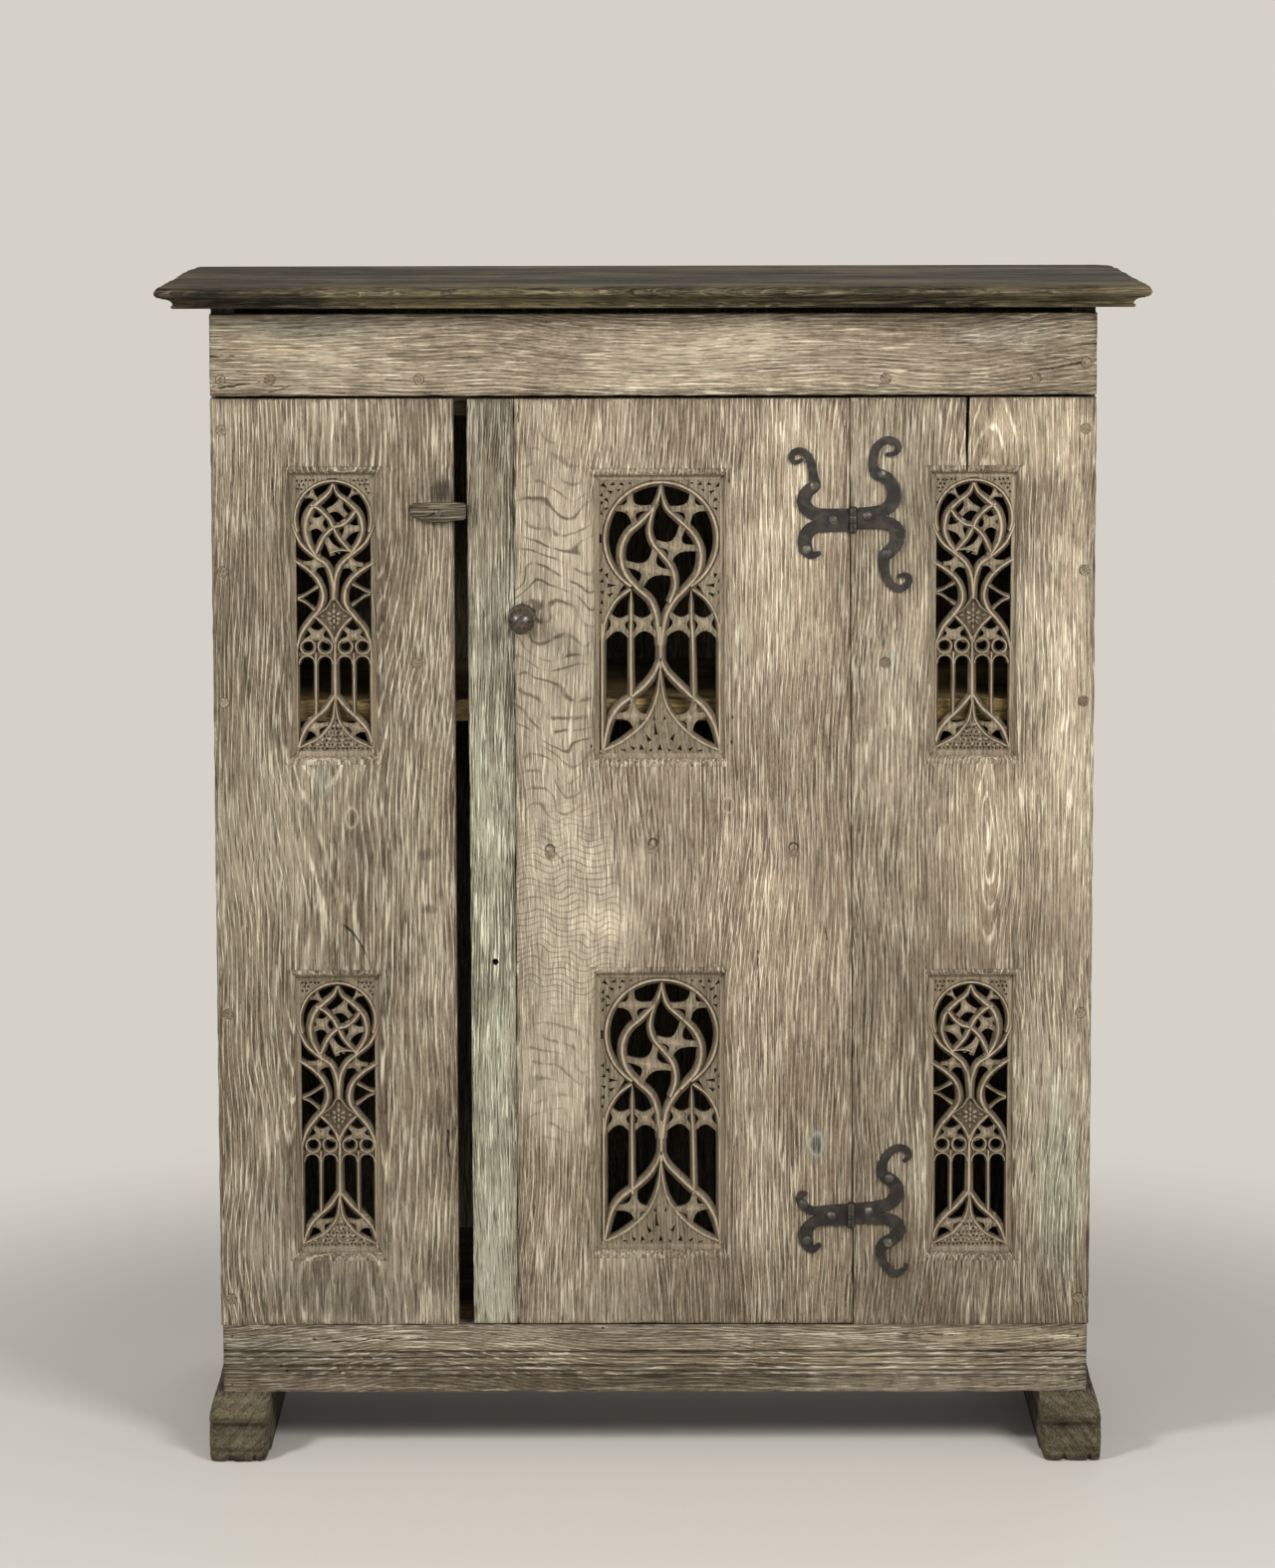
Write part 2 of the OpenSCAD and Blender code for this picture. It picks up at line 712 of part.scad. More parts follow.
// Where a side panel is pierced, before its bars are laid across
module side_openings(k) {
    edge = concat([[-60, 240]], [[-60, 13]], backwards(curve(side_gable, 2)));
    translate([0, side_ring_z * k[1]])
        scale(k)
            circle(r = side_ring_r);
    difference() {
        polygon(sized(concat(edge, backwards(mirrored(edge)), [[36.5, 254.5], [0, 300], [-36.5, 254.5]]), k));
        polygon(sized([[0, 192], [-20, 168], [0, 141], [20, 168]], k));
    }
}

// The pattern of the two door panels
door_ring_z = 259.5;
door_ring_r = 66.5;
door_onion_left = [
    [0, 327], [-6.9, 305.3], [-16.5, 289], [-35.9, 270.6], [-47, 250], [-47.4, 229], [-36.2, 203.5],
    [-18.5, 189.7], [-5.8, 171], [-0.5, 152]
];
door_onion_right = [
    [0, 327], [6.9, 302], [18.5, 285], [39.3, 266], [48.6, 245.2], [45.5, 222], [36.6, 204.5],
    [16.2, 187.4], [6.2, 170], [0.5, 152]
];
door_wave = [[-5, 305], [-12.7, 284.5], [-12.4, 264], [-3.5, 245.2], [11.6, 229], [17.3, 212.8], [13.9, 186]];
door_arch = [[-36, 201], [-51, 188], [-63, 171.5], [-68, 152]];
door_foot = [
    [0, 118], [-8.5, 101], [-18.5, 88], [-36, 74.5], [-51, 62.3], [-60.5, 48], [-66, 33], [-71, 5]
];
door_gable = [[0, 108], [-4.2, 81], [-10.4, 57.8], [-23, 39.3], [-44, 24], [-76, 8]];
door_mullion_x = 36.7;
door_foil = [[-67, 148], [-60, 157.5], [-51.5, 159.5], [-43, 157.5], [-37, 148]];
door_inner_foil = [[-36, 148], [-30, 157.5], [-22, 160.5], [-12, 158], [-4, 148]];
door_cusps_twin = [
    [[-35.9, 297.2], [[-50, 297], [-36, 311], [-16, 295], [-31, 279]]],
    [[-51.5, 160], [[-61, 168], [-42, 167]]],
    [[-22, 161], [[-31, 168], [-10, 168]]],
    [[-35.9, 53.2], [[-50, 52.5], [-33.5, 68], [-17, 45.5], [-31, 33]]]
];
door_cusps_single = [
    [[16.2, 252], [[0, 254], [26, 275], [46, 253], [13, 236]]],
    [[-13.9, 224.4], [[-44, 232], [-10.4, 250], [10, 224], [-23, 200]]]
];

module door_bars(k) {
    bar(sized(arc([0, door_ring_z], door_ring_r, door_ring_r, -57, 237, 26), k), bar_half);
    bar(sized(curve(door_onion_left, 2), k), bar_half + 0.3);
    bar(sized(curve(door_onion_right, 2), k), bar_half + 0.3);
    bar(sized(curve(door_wave, 2), k), bar_half);
    for (s = [1, -1]) {
        m = [s * k[0], k[1]];
        bar(sized(curve(door_arch, 2), m), bar_half);
        bar(sized(curve(door_foot, 2), m), bar_half + 0.3);
        bar(sized(curve(door_gable, 2), m), bar_half);
        bar(sized([[-69, 160], [-69, 15]], m), bar_half);
        bar(sized([[-door_mullion_x, 199], [-door_mullion_x, 73]], m), cusp_half + 0.7);
        bar(sized(door_foil, m), cusp_half);
        bar(sized(door_inner_foil, m), cusp_half);
        for (c = door_cusps_twin)
            cusp(sized([c[0]], m)[0], sized(c[1], m));
    }
    for (c = door_cusps_single)
        cusp(sized([c[0]], k)[0], sized(c[1], k));
    bar(sized([[0, 157], [0, 110]], k), bar_half + 0.3);
}

module door_openings(k) {
    edge = concat(curve(door_arch, 2), [[-80, 152], [-80, 8]], backwards(curve(door_gable, 2)));
    translate([0, door_ring_z * k[1]])
        scale(k)
            circle(r = door_ring_r);
    polygon(sized(concat(edge, backwards(mirrored(edge)), [[0, 230]]), k));
}

// One layer of the carving between two heights over the panel's back. Its outer edge ends
// inside the solid rim
module tracery_layer(low, high, inset, w, k, door, grounded) {
    reach = rim_edge - 2 + inset / 2;
    along_y(-high, high - low)
        offset(delta = 0)
            intersection() {
                translate([reach - w / 2, reach])
                    square([w - 2 * reach, tracery_h - 2 * reach]);
                union() {
                    offset(delta = -inset)
                        if (door) {
                            door_bars(k);
                        } else {
                            side_bars(k);
                        }
                    if (grounded)
                        offset(delta = -inset / 2)
                            difference() {
                                translate([-w, -tracery_h])
                                    square([2 * w, 3 * tracery_h]);
                                if (door) {
                                    door_openings(k);
                                } else {
                                    side_openings(k);
                                }
                            }
                }
            }
}

// A whole panel: its flat rim in the rebate and the layers of the carving
module tracery(x, sill, w, drawn, door) {
    k = [w / drawn[0], tracery_h / drawn[1]];
    rim_w = w + 2 * rebate - 2 * drive_fit;
    rim_h = tracery_h + 2 * rebate - 2 * drive_fit;
    ridge = panel_t - ridge_drop;
    color(tracery_colour)
        translate([x, front_y + panel_set + panel_t, sill]) {
            along_y(-panel_t, panel_t)
                difference() {
                    translate([-rim_w / 2, drive_fit - rebate])
                        square([rim_w, rim_h]);
                    translate([rim_edge - w / 2, rim_edge])
                        square([w - 2 * rim_edge, tracery_h - 2 * rim_edge]);
                }
            tracery_layer(0.3, shoulder_h, 0, w, k, door, true);
            tracery_layer(shoulder_h - 1, ground_h, 1.1, w, k, door, true);
            tracery_layer(ground_h - 1, ridge, 2.3, w, k, door, false);
        }
}

// Strips behind one panel that keep it in its rebate
module window_fillets(x, sill, w, thick) {
    near = front_y + panel_set + panel_t;
    far = front_y + thick;
    low = sill - rebate + drive_fit;
    high = sill + tracery_h + rebate - drive_fit;
    reach = w / 2 + rebate - drive_fit;
    strip_w = rebate - 1;
    for (z = [low, high - strip_w])
        block([x - reach, near, z], [x + reach, far, z + strip_w]);
    for (side = [-1, 1])
        translate([x + side * (reach - strip_w / 2), (near + far) / 2, (low + high) / 2])
            cube([strip_w, far - near, high - low - 2 * strip_w - 2 * body_gap], center = true);
}

module case_tracery_fillets() {
    color(inner_colour)
        for (x = [left_tracery_x, right_tracery_x])
            for (sill = [lower_sill, upper_sill])
                window_fillets(x, sill, side_tracery_w, front_t);
}

module door_tracery_fillets() {
    color(inner_colour)
        for (sill = [door_lower_sill, door_upper_sill])
            window_fillets(door_mid_x, sill, door_tracery_w, door_t);
}

/* Pegs and nails. Each module draws them a little larger, by the given play, to cut their holes;
   the overrun opens a hole at the face it starts from. */

module rail_pegs(play, open) {
    for (x = rail_peg_x)
        rod(x, rail_peg_z, peg_r + play, front_y - peg_proud - open, front_t + peg_proud + open + tie_t * 0.8);
    rod(case_w / 2 - peg_edge, rail_peg_raised_z, peg_r + play,
        front_y - peg_proud - open, front_t + peg_proud + open + tie_t * 0.8);
}

module board_pegs(play, open) {
    for (side = [-1, 1])
        for (z = edge_peg_z)
            rod(side * (case_w / 2 - peg_edge), z, peg_r + play,
                front_y - peg_proud - open, front_t + peg_proud + open + peg_bite);
    for (x = plug_x)
        rod(x, plug_z, peg_r + play, front_y - peg_proud - open, plug_depth + peg_proud + open);
}

module front_pegs() {
    color(peg_colour) {
        rail_pegs(0, 0);
        board_pegs(0, 0);
    }
}

module rail_nail_rods(play, open) {
    for (side = [-1, 1])
        for (z = [foot_h + bottom_rail_h * 0.11, foot_h + bottom_rail_h * 0.83])
            rod(side * (case_w / 2 - peg_edge), z, nail_r + play, front_y - open, front_t + open + peg_bite);
    for (x = [-0.3, -0.06, 0.2])
        rod(x * case_w, floor_z - floor_t * 0.85, nail_r + play, front_y - open, front_t + open + peg_bite);
}

module rail_nails() {
    color(iron_colour)
        rail_nail_rods(0, 0);
}

module top_peg_rods(play, open) {
    for (side = [-1, 1])
        for (d = top_peg_depths)
            translate([side * (case_w / 2 - side_t / 2), front_y + d, top_z - peg_bite])
                cylinder(r = peg_r + play, h = peg_bite + top_t + open);
}

module top_pegs() {
    color(dark_colour)
        top_peg_rods(0, 0);
}

module back_nail_rods(play, open) {
    pitch = case_w / back_planks;
    for (z = back_nail_heights)
        for (i = [0 : back_planks - 1])
            for (part = [0.3, 0.7])
                rod(-case_w / 2 + (i + part) * pitch, z, nail_r + play,
                    back_y - back_t - back_nail_bite, back_t + back_nail_bite + open);
    for (side = [-1, 1])
        for (z = back_corner_nail_heights)
            rod(side * (case_w / 2 - side_t / 2), z, nail_r + play,
                back_y - back_t - back_nail_bite, back_t + back_nail_bite + open);
}

module back_nails() {
    color(iron_colour)
        back_nail_rods(0, 0);
}

/* Hinges. Each tail is a curve of [x, z, half width] from the pin's axis outwards. */

upper_board_tails = [
    [
        [2, 6.6, 7], [29.9, 9.5, 7.3], [43.2, 15.6, 8], [48.5, 27.2, 8.7], [45.8, 40.5, 8.2],
        [37.8, 50.6, 7.4], [28, 54.3, 7.2], [23.4, 63, 6], [23.9, 75, 5.4], [28.6, 87, 5],
        [39.2, 94.6, 4.6], [49.8, 92, 4.4], [53.6, 85, 4], [49.4, 79, 3.2], [41, 77.2, 2.2]
    ],
    [
        [2, -4.4, 7], [32.5, -3.6, 7.6], [45.8, -6.6, 8.2], [53.4, -16, 8.5], [51.1, -28.6, 8.2],
        [43.6, -38, 7.8], [37, -44, 7.2], [37, -55.1, 6], [39.2, -67, 5.4], [45.8, -78.6, 4.9],
        [56.4, -82.6, 4.5], [65.4, -76.6, 4], [66.6, -68.8, 3.4], [60.6, -65.7, 2.8], [54.4, -68, 2]
    ]
];
upper_door_tails = [
    [
        [-2, 6.4, 7], [-27.2, 6, 7.2], [-43.2, 6.4, 7.8], [-53.8, 11.6, 8.4], [-58.6, 22, 8.5],
        [-53.8, 33.6, 7.8], [-45.2, 40.8, 7], [-47.1, 50, 5.8], [-48.5, 61.8, 5.2], [-52.8, 74.6, 4.7],
        [-61.8, 81.8, 4.3], [-70.6, 79.8, 3.9], [-73.4, 72.4, 3.4], [-68.4, 67.9, 2.9], [-61.8, 70.6, 2.1]
    ],
    [
        [-2, -7, 6.8], [-27.2, -7.2, 7.4], [-43.2, -8, 7.8], [-53.4, -14.6, 8.2], [-57.6, -25.9, 8.4],
        [-54.8, -36.6, 7.8], [-48.2, -42.4, 4.8], [-41, -40.4, 2.6]
    ]
];
lower_board_tails = [
    [
        [2, 7, 6.8], [26, 8.6, 7.2], [43.9, 12, 7.8], [53.4, 20.8, 8.5], [54.4, 32.6, 8.5],
        [48.6, 41.8, 7.8], [39.8, 47.2, 7.2], [37, 56, 6.2], [40.3, 68.2, 5.4], [48.6, 78.4, 4.9],
        [59.3, 82, 4.6], [68.4, 77.6, 4], [69.8, 70.8, 3.1], [64.6, 66.4, 2.1]
    ],
    [
        [2, -5.6, 6.4], [26, -5, 6.6], [43.9, -5.6, 7.4], [54.4, -10.6, 7.8], [57.6, -20, 8],
        [51, -30, 7.8], [40, -36.4, 7.6], [36, -46, 6], [39.1, -58.7, 5], [47.2, -70, 4.5],
        [56.9, -72.6, 4], [65, -67.2, 2.9], [66.8, -62.8, 2]
    ]
];
lower_door_tails = [
    [
        [-2, 6, 7.4], [-27.3, 4.8, 6.8], [-45.1, 4.6, 5.4], [-56.6, 10.2, 5.3], [-61.9, 18.6, 4.8],
        [-60.4, 25.2, 3.8], [-55.2, 26, 2.6]
    ],
    [
        [-2, -7, 6.2], [-27.3, -7.4, 6], [-42.4, -8.6, 6.8], [-52, -16.6, 7.8], [-55.4, -27.9, 8.1],
        [-51, -38.8, 7], [-45, -42.6, 4.6], [-38.6, -38, 2.7]
    ]
];
upper_board_nails = [[17.3, 4.8], [33.5, 53.2], [40.4, -41]];
upper_door_nails = [[-23.5, 0], [-45, 40.2], [-54.6, -35.4]];
lower_board_nails = [[21.9, 3.4], [46, 44], [44.6, -34.4]];
lower_door_nails = [[-23.1, -1.6], [-57.6, 12.6], [-53, -32]];

// One scrolled tail with its rounded end
module scroll(tail) {
    last = tail[len(tail) - 1];
    strip(curve(tail, 3));
    translate([last[0], last[1]])
        circle(r = last[2] + 0.5, $fn = 20);
}

// A leaf of a hinge: two scrolled tails and its own knuckles, cut clear of the other leaf's
module hinge_leaf(tails, nails, z, own, others) {
    lift = knuckle_h / 3;
    tongue = seam_lean + door_gap_right + 1;
    color(iron_colour)
        translate([hinge_x, 0, z])
            difference() {
                union() {
                    along_y(front_y - leaf_t, leaf_t)
                        offset(delta = 0)
                            for (tail = tails)
                                scroll(tail);
                    for (i = own)
                        translate([0, hinge_y, (i - 1.5) * lift])
                            cylinder(r = knuckle_r, h = lift);
                }
                for (i = others)
                    translate([0, hinge_y, (i - 1.5) * lift - body_gap / 2])
                        cylinder(r = knuckle_r + body_gap, h = lift + body_gap);
                translate([0, hinge_y, -knuckle_h])
                    cylinder(r = hinge_pin_r + running_fit, h = 2 * knuckle_h);
                block([-tongue, front_y - body_gap, -knuckle_h], [tongue, front_y + over, knuckle_h]);
                for (nail = nails)
                    rod(nail[0], nail[1], nail_r + drive_fit, front_y - leaf_t - over, leaf_t + 2 * over);
            }
}

module hinge_pin(z) {
    cap = 1.6;
    color(iron_colour)
        translate([hinge_x, hinge_y, z]) {
            translate([0, 0, -knuckle_h / 2 - cap - body_gap])
                cylinder(r = hinge_pin_r, h = knuckle_h + 2 * cap + 2 * body_gap);
            for (side = [-1, 1])
                translate([0, 0, side * (knuckle_h / 2 + body_gap / 2 + cap / 2)])
                    cylinder(r = hinge_pin_r + 1.2, h = cap, center = true);
        }
}

module hinge_nail_rods(nails, z, play) {
    for (nail = nails)
        rod(hinge_x + nail[0], z + nail[1], nail_r + play, front_y - leaf_t - over, leaf_t + over + 21);
}

// A forged nail with a domed head that bears on the leaf
module hinge_nails_at(nails, z) {
    dome = nail_head_r * 0.55;
    for (nail = nails)
        translate([hinge_x + nail[0], front_y - leaf_t, z + nail[1]])
            rotate([90, 0, 0])
                rotate_extrude()
                    polygon(concat(
                        [[0, -leaf_t - 20], [nail_r, -leaf_t - 20], [nail_r, 0], [nail_head_r, 0]],
                        arc([0, 0], nail_head_r, dome, 18, 90, 6)
                    ));
}

module board_hinge_nails() {
    color(iron_colour) {
        hinge_nails_at(upper_board_nails, upper_hinge_z);
        hinge_nails_at(lower_board_nails, lower_hinge_z);
    }
}

module door_hinge_nails() {
    color(iron_colour) {
        hinge_nails_at(upper_door_nails, upper_hinge_z);
        hinge_nails_at(lower_door_nails, lower_hinge_z);
    }
}

/* Door */

module narrow_plank_outline() {
    polygon([
        [door_left_x + door_wane_bottom, door_low_z], [plank_x - plank_joint, door_low_z],
        [plank_x - plank_joint, boards_top_z - 0.5], [door_left_x + door_wane_top, boards_top_z - 0.5],
        [door_left_x, button_z], [door_left_x + door_wane_bottom * 0.5, middle_batten_z]
    ]);
}

module door_narrow_plank() {
    color(door_colour)
        difference() {
            intersection() {
                along_y(front_y, door_t)
                    narrow_plank_outline();
                along_z(door_low_z - over, boards_top_z - door_low_z + over)
                    polygon([
                        [door_left_x, front_y - over], [plank_x + over, front_y - over],
                        [plank_x + over, front_y + door_t + over],
                        [door_left_x + door_bevel, front_y + door_t + over], [door_left_x, front_y]
                    ]);
            }
            door_peg_rods(drive_fit, over);
            rod(plank_x - narrow_plank_w * 0.45, hole_z, empty_hole_r, front_y - over, door_t + 2 * over);
        }
}

module door_wide_plank() {
    right_low = hinge_x + seam_lean - door_gap_right;
    right_high = hinge_x - seam_lean - door_gap_right;
    color(door_colour)
        difference() {
            along_y(front_y, door_t)
                polygon([
                    [plank_x, door_low_z], [right_low, door_low_z],
                    [right_high, boards_top_z - 0.5], [plank_x, boards_top_z - 0.5]
                ]);
            window_cut(door_mid_x, door_upper_sill, door_tracery_w, door_t);
            window_cut(door_mid_x, door_lower_sill, door_tracery_w, door_t);
            door_peg_rods(drive_fit, over);
            hinge_nail_rods(upper_door_nails, upper_hinge_z, drive_fit);
            hinge_nail_rods(lower_door_nails, lower_hinge_z, drive_fit);
            rod(knob_x, knob_z, knob_shank_r + drive_fit, front_y - over, door_t + 2 * over);
        }
}

// A batten across the back of the door with chamfered ends
module door_batten(z) {
    slope = door_batten_t * 0.6;
    near = front_y + door_t;
    color(inner_colour)
        difference() {
            along_z(z - door_batten_h / 2, door_batten_h)
                polygon([
                    [batten_left_x, near], [batten_right_x, near], [batten_right_x, near + door_batten_t - slope],
                    [batten_right_x - slope, near + door_batten_t], [batten_left_x + slope, near + door_batten_t],
                    [batten_left_x, near + door_batten_t - slope]
                ]);
            door_peg_rods(drive_fit, over);
        }
}

module door_peg_rods(play, open) {
    back = front_y + door_t + door_batten_t;
    blind = door_t * 0.4;
    for (p = door_front_pegs)
        rod(p[0], middle_batten_z + p[1], peg_r + play, front_y - peg_proud - open,
            door_t + peg_proud + open + door_batten_t * 0.8);
    for (z = [door_bottom_batten_z, middle_batten_z, door_top_batten_z])
        rod(plank_x - narrow_plank_w / 2, z, peg_r + play, front_y + blind, back - front_y - blind + open);
    for (z = [door_bottom_batten_z, door_top_batten_z])
        for (p = door_front_pegs)
            rod(p[0], z, peg_r + play, front_y + blind, back - front_y - blind + open);
}

module door_pegs() {
    color(peg_colour)
        door_peg_rods(0, 0);
}

/* Knob and turn button */

module knob() {
    tail = door_t + 24;
    ball_at = knob_out - knob_ball_r;
    color(knob_colour)
        difference() {
            translate([knob_x, front_y, knob_z])
                rotate([90, 0, 0])
                    rotate_extrude()
                        polygon(concat(
                            [[0, -tail], [knob_shank_r, -tail], [knob_shank_r, 0]],
                            arc([13, 3], 3, 3, -90, 90, 6),
                            [[10.5, 7]],
                            arc([12.5, 11], 3, 2.6, -90, 90, 6),
                            curve([[10.5, 14.5], [8.6, 18], [8.4, ball_at - 15.5], [10, ball_at - 13.2]], 3),
                            arc([0, ball_at], knob_ball_r, knob_ball_r, -51, 90, 18)
                        ));
            knob_slot();
        }
}

// Slot through the knob's shank for its wedge, close behind the door
module knob_slot() {
    translate([knob_x, front_y + door_t + 7, knob_z])
        cube([2 * knob_shank_r + over, 14, 4], center = true);
}

module knob_wedge() {
    low = front_y + door_t;
    color(peg_colour)
        translate([0, 0, knob_z - 1.9])
            linear_extrude(3.8)
                polygon([
                    [knob_x - 19, low], [knob_x + 19, low], [knob_x + 19, low + 12], [knob_x - 19, low + 8]
                ]);
}

button_line = [
    [-32.6, 9.8], [-29, 11.3], [-11, 12], [16.3, 12.4], [30.6, 11.4], [33, 8.6], [33, -5.8], [30, -8.4],
    [21.6, -9], [10.2, -11.2], [2.7, -12.1], [-8, -11.1], [-18.6, -8.2], [-30.8, -5.6], [-33, -2], [-33, 7]
];

module turn_button() {
    near = front_y - body_gap;
    color(front_colour)
        difference() {
            translate([button_x, 0, button_z])
                along_y(near - button_t, button_t)
                    polygon([for (p = button_line) [p[0] * button_len / 66, p[1]]]);
            rod(button_x, button_z, nail_r + 0.4 + running_fit, near - button_t - over, button_t + 2 * over);
        }
}

module button_nail_hole() {
    rod(button_x, button_z, nail_r + 0.4 + drive_fit, front_y - over, 22);
}

module turn_button_nail() {
    shank = nail_r + 0.4;
    head_at = button_t + 2 * body_gap;
    color(iron_colour)
        translate([button_x, front_y, button_z])
            rotate([90, 0, 0])
                rotate_extrude()
                    polygon(concat(
                        [[0, -20], [shank, -20], [shank, head_at], [shank + 1.8, head_at]],
                        arc([0, head_at], shank + 1.8, 1.8, 25, 90, 5)
                    ));
}

module left_side_front_plank() { side_front_plank(-1); }
module left_side_rear_plank() { side_rear_plank(-1); }
module right_side_front_plank() { side_front_plank(1); }
module right_side_rear_plank() { side_rear_plank(1); }
module left_shelf_cleat() { cleat(-1, shelf_z - shelf_t); }
module right_shelf_cleat() { cleat(1, shelf_z - shelf_t); }
module left_bottom_cleat() { cleat(-1, floor_z - floor_t); }
module right_bottom_cleat() { cleat(1, floor_z - floor_t); }

top_board();
top_rail();
bottom_rail();
left_front_board();
right_front_board();
left_side_front_plank();
left_side_rear_plank();
right_side_front_plank();
right_side_rear_plank();
back_plank(0);  // back_plank_1
back_plank(1);  // back_plank_2
back_plank(2);  // back_plank_3
back_plank(3);  // back_plank_4
top_tie_batten();
bottom_board();
shelf();
left_shelf_cleat();
right_shelf_cleat();
left_bottom_cleat();
right_bottom_cleat();
foot(-1);  // left_foot
foot(1);  // right_foot
tracery(left_tracery_x, upper_sill, side_tracery_w, side_drawn, false);  // left_upper_tracery
tracery(left_tracery_x, lower_sill, side_tracery_w, side_drawn, false);  // left_lower_tracery
tracery(right_tracery_x, upper_sill, side_tracery_w, side_drawn, false);  // right_upper_tracery
tracery(right_tracery_x, lower_sill, side_tracery_w, side_drawn, false);  // right_lower_tracery
case_tracery_fillets();
front_pegs();
rail_nails();
top_pegs();
back_nails();
hinge_leaf(upper_board_tails, upper_board_nails, upper_hinge_z, [0, 2], [1]);  // upper_hinge_board_leaf
hinge_leaf(lower_board_tails, lower_board_nails, lower_hinge_z, [0, 2], [1]);  // lower_hinge_board_leaf
hinge_pin(upper_hinge_z);  // upper_hinge_pin
hinge_pin(lower_hinge_z);  // lower_hinge_pin
board_hinge_nails();
turn_button_nail();
door_narrow_plank();
door_wide_plank();
door_batten(door_top_batten_z);  // door_top_batten
door_batten(middle_batten_z);  // door_middle_batten
door_batten(door_bottom_batten_z);  // door_bottom_batten
tracery(door_mid_x, door_upper_sill, door_tracery_w, door_drawn, true);  // door_upper_tracery
tracery(door_mid_x, door_lower_sill, door_tracery_w, door_drawn, true);  // door_lower_tracery
door_tracery_fillets();
door_pegs();
hinge_leaf(upper_door_tails, upper_door_nails, upper_hinge_z, [1], [0, 2]);  // upper_hinge_door_leaf
hinge_leaf(lower_door_tails, lower_door_nails, lower_hinge_z, [1], [0, 2]);  // lower_hinge_door_leaf
door_hinge_nails();
knob();
knob_wedge();
turn_button();
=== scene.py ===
"""Looks of the sacristy cupboard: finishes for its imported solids, and pieces too fine for them.

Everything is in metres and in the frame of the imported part: the origin is on the floor under the
middle of the cupboard, +Z is up and the front faces -Y. Carved work is drawn in millimetres on
the plane of its panel and then set in its place.
"""

import logging
import math
import random
from collections.abc import Iterable, Sequence
from dataclasses import dataclass
from enum import Enum
from typing import ClassVar

import bmesh
import bpy
from mathutils import Euler, Matrix, Vector, noise


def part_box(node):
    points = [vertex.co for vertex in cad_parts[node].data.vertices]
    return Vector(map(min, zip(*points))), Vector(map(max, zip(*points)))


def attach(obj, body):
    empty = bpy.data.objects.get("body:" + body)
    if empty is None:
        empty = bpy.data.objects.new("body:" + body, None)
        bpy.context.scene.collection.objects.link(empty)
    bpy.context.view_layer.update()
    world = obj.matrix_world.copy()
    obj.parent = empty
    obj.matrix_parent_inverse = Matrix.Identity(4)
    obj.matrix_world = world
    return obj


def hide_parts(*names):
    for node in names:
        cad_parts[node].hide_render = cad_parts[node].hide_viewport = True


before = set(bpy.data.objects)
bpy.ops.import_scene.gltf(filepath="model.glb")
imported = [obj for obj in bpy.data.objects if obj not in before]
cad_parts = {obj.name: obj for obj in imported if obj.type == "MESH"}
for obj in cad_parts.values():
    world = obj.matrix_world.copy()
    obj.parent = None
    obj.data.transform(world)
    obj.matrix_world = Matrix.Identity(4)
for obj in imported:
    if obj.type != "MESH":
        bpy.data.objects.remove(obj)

Vec2 = tuple[float, float]
Vec3 = tuple[float, float, float]
Tone = tuple[int, int, int]
Colour = tuple[float, float, float, float]
Line = list[Vector]

MM = 0.001
WELD = 0.00001
IMAGE_HEIGHT = 1574

log = logging.getLogger("cupboard")


def linear(tone: Tone) -> Colour:
    """Turns a tone as it is seen, 0 to 255, into a shader colour.

    Args:
        tone: Red, green and blue as they should look.

    Returns:
        The linear colour with full alpha.
    """
    parts = [c / 255 for c in tone]
    red, green, blue = (c / 12.92 if c <= 0.04045 else ((c + 0.055) / 1.055) ** 2.4 for c in parts)
    return (red, green, blue, 1.0)


# Node trees


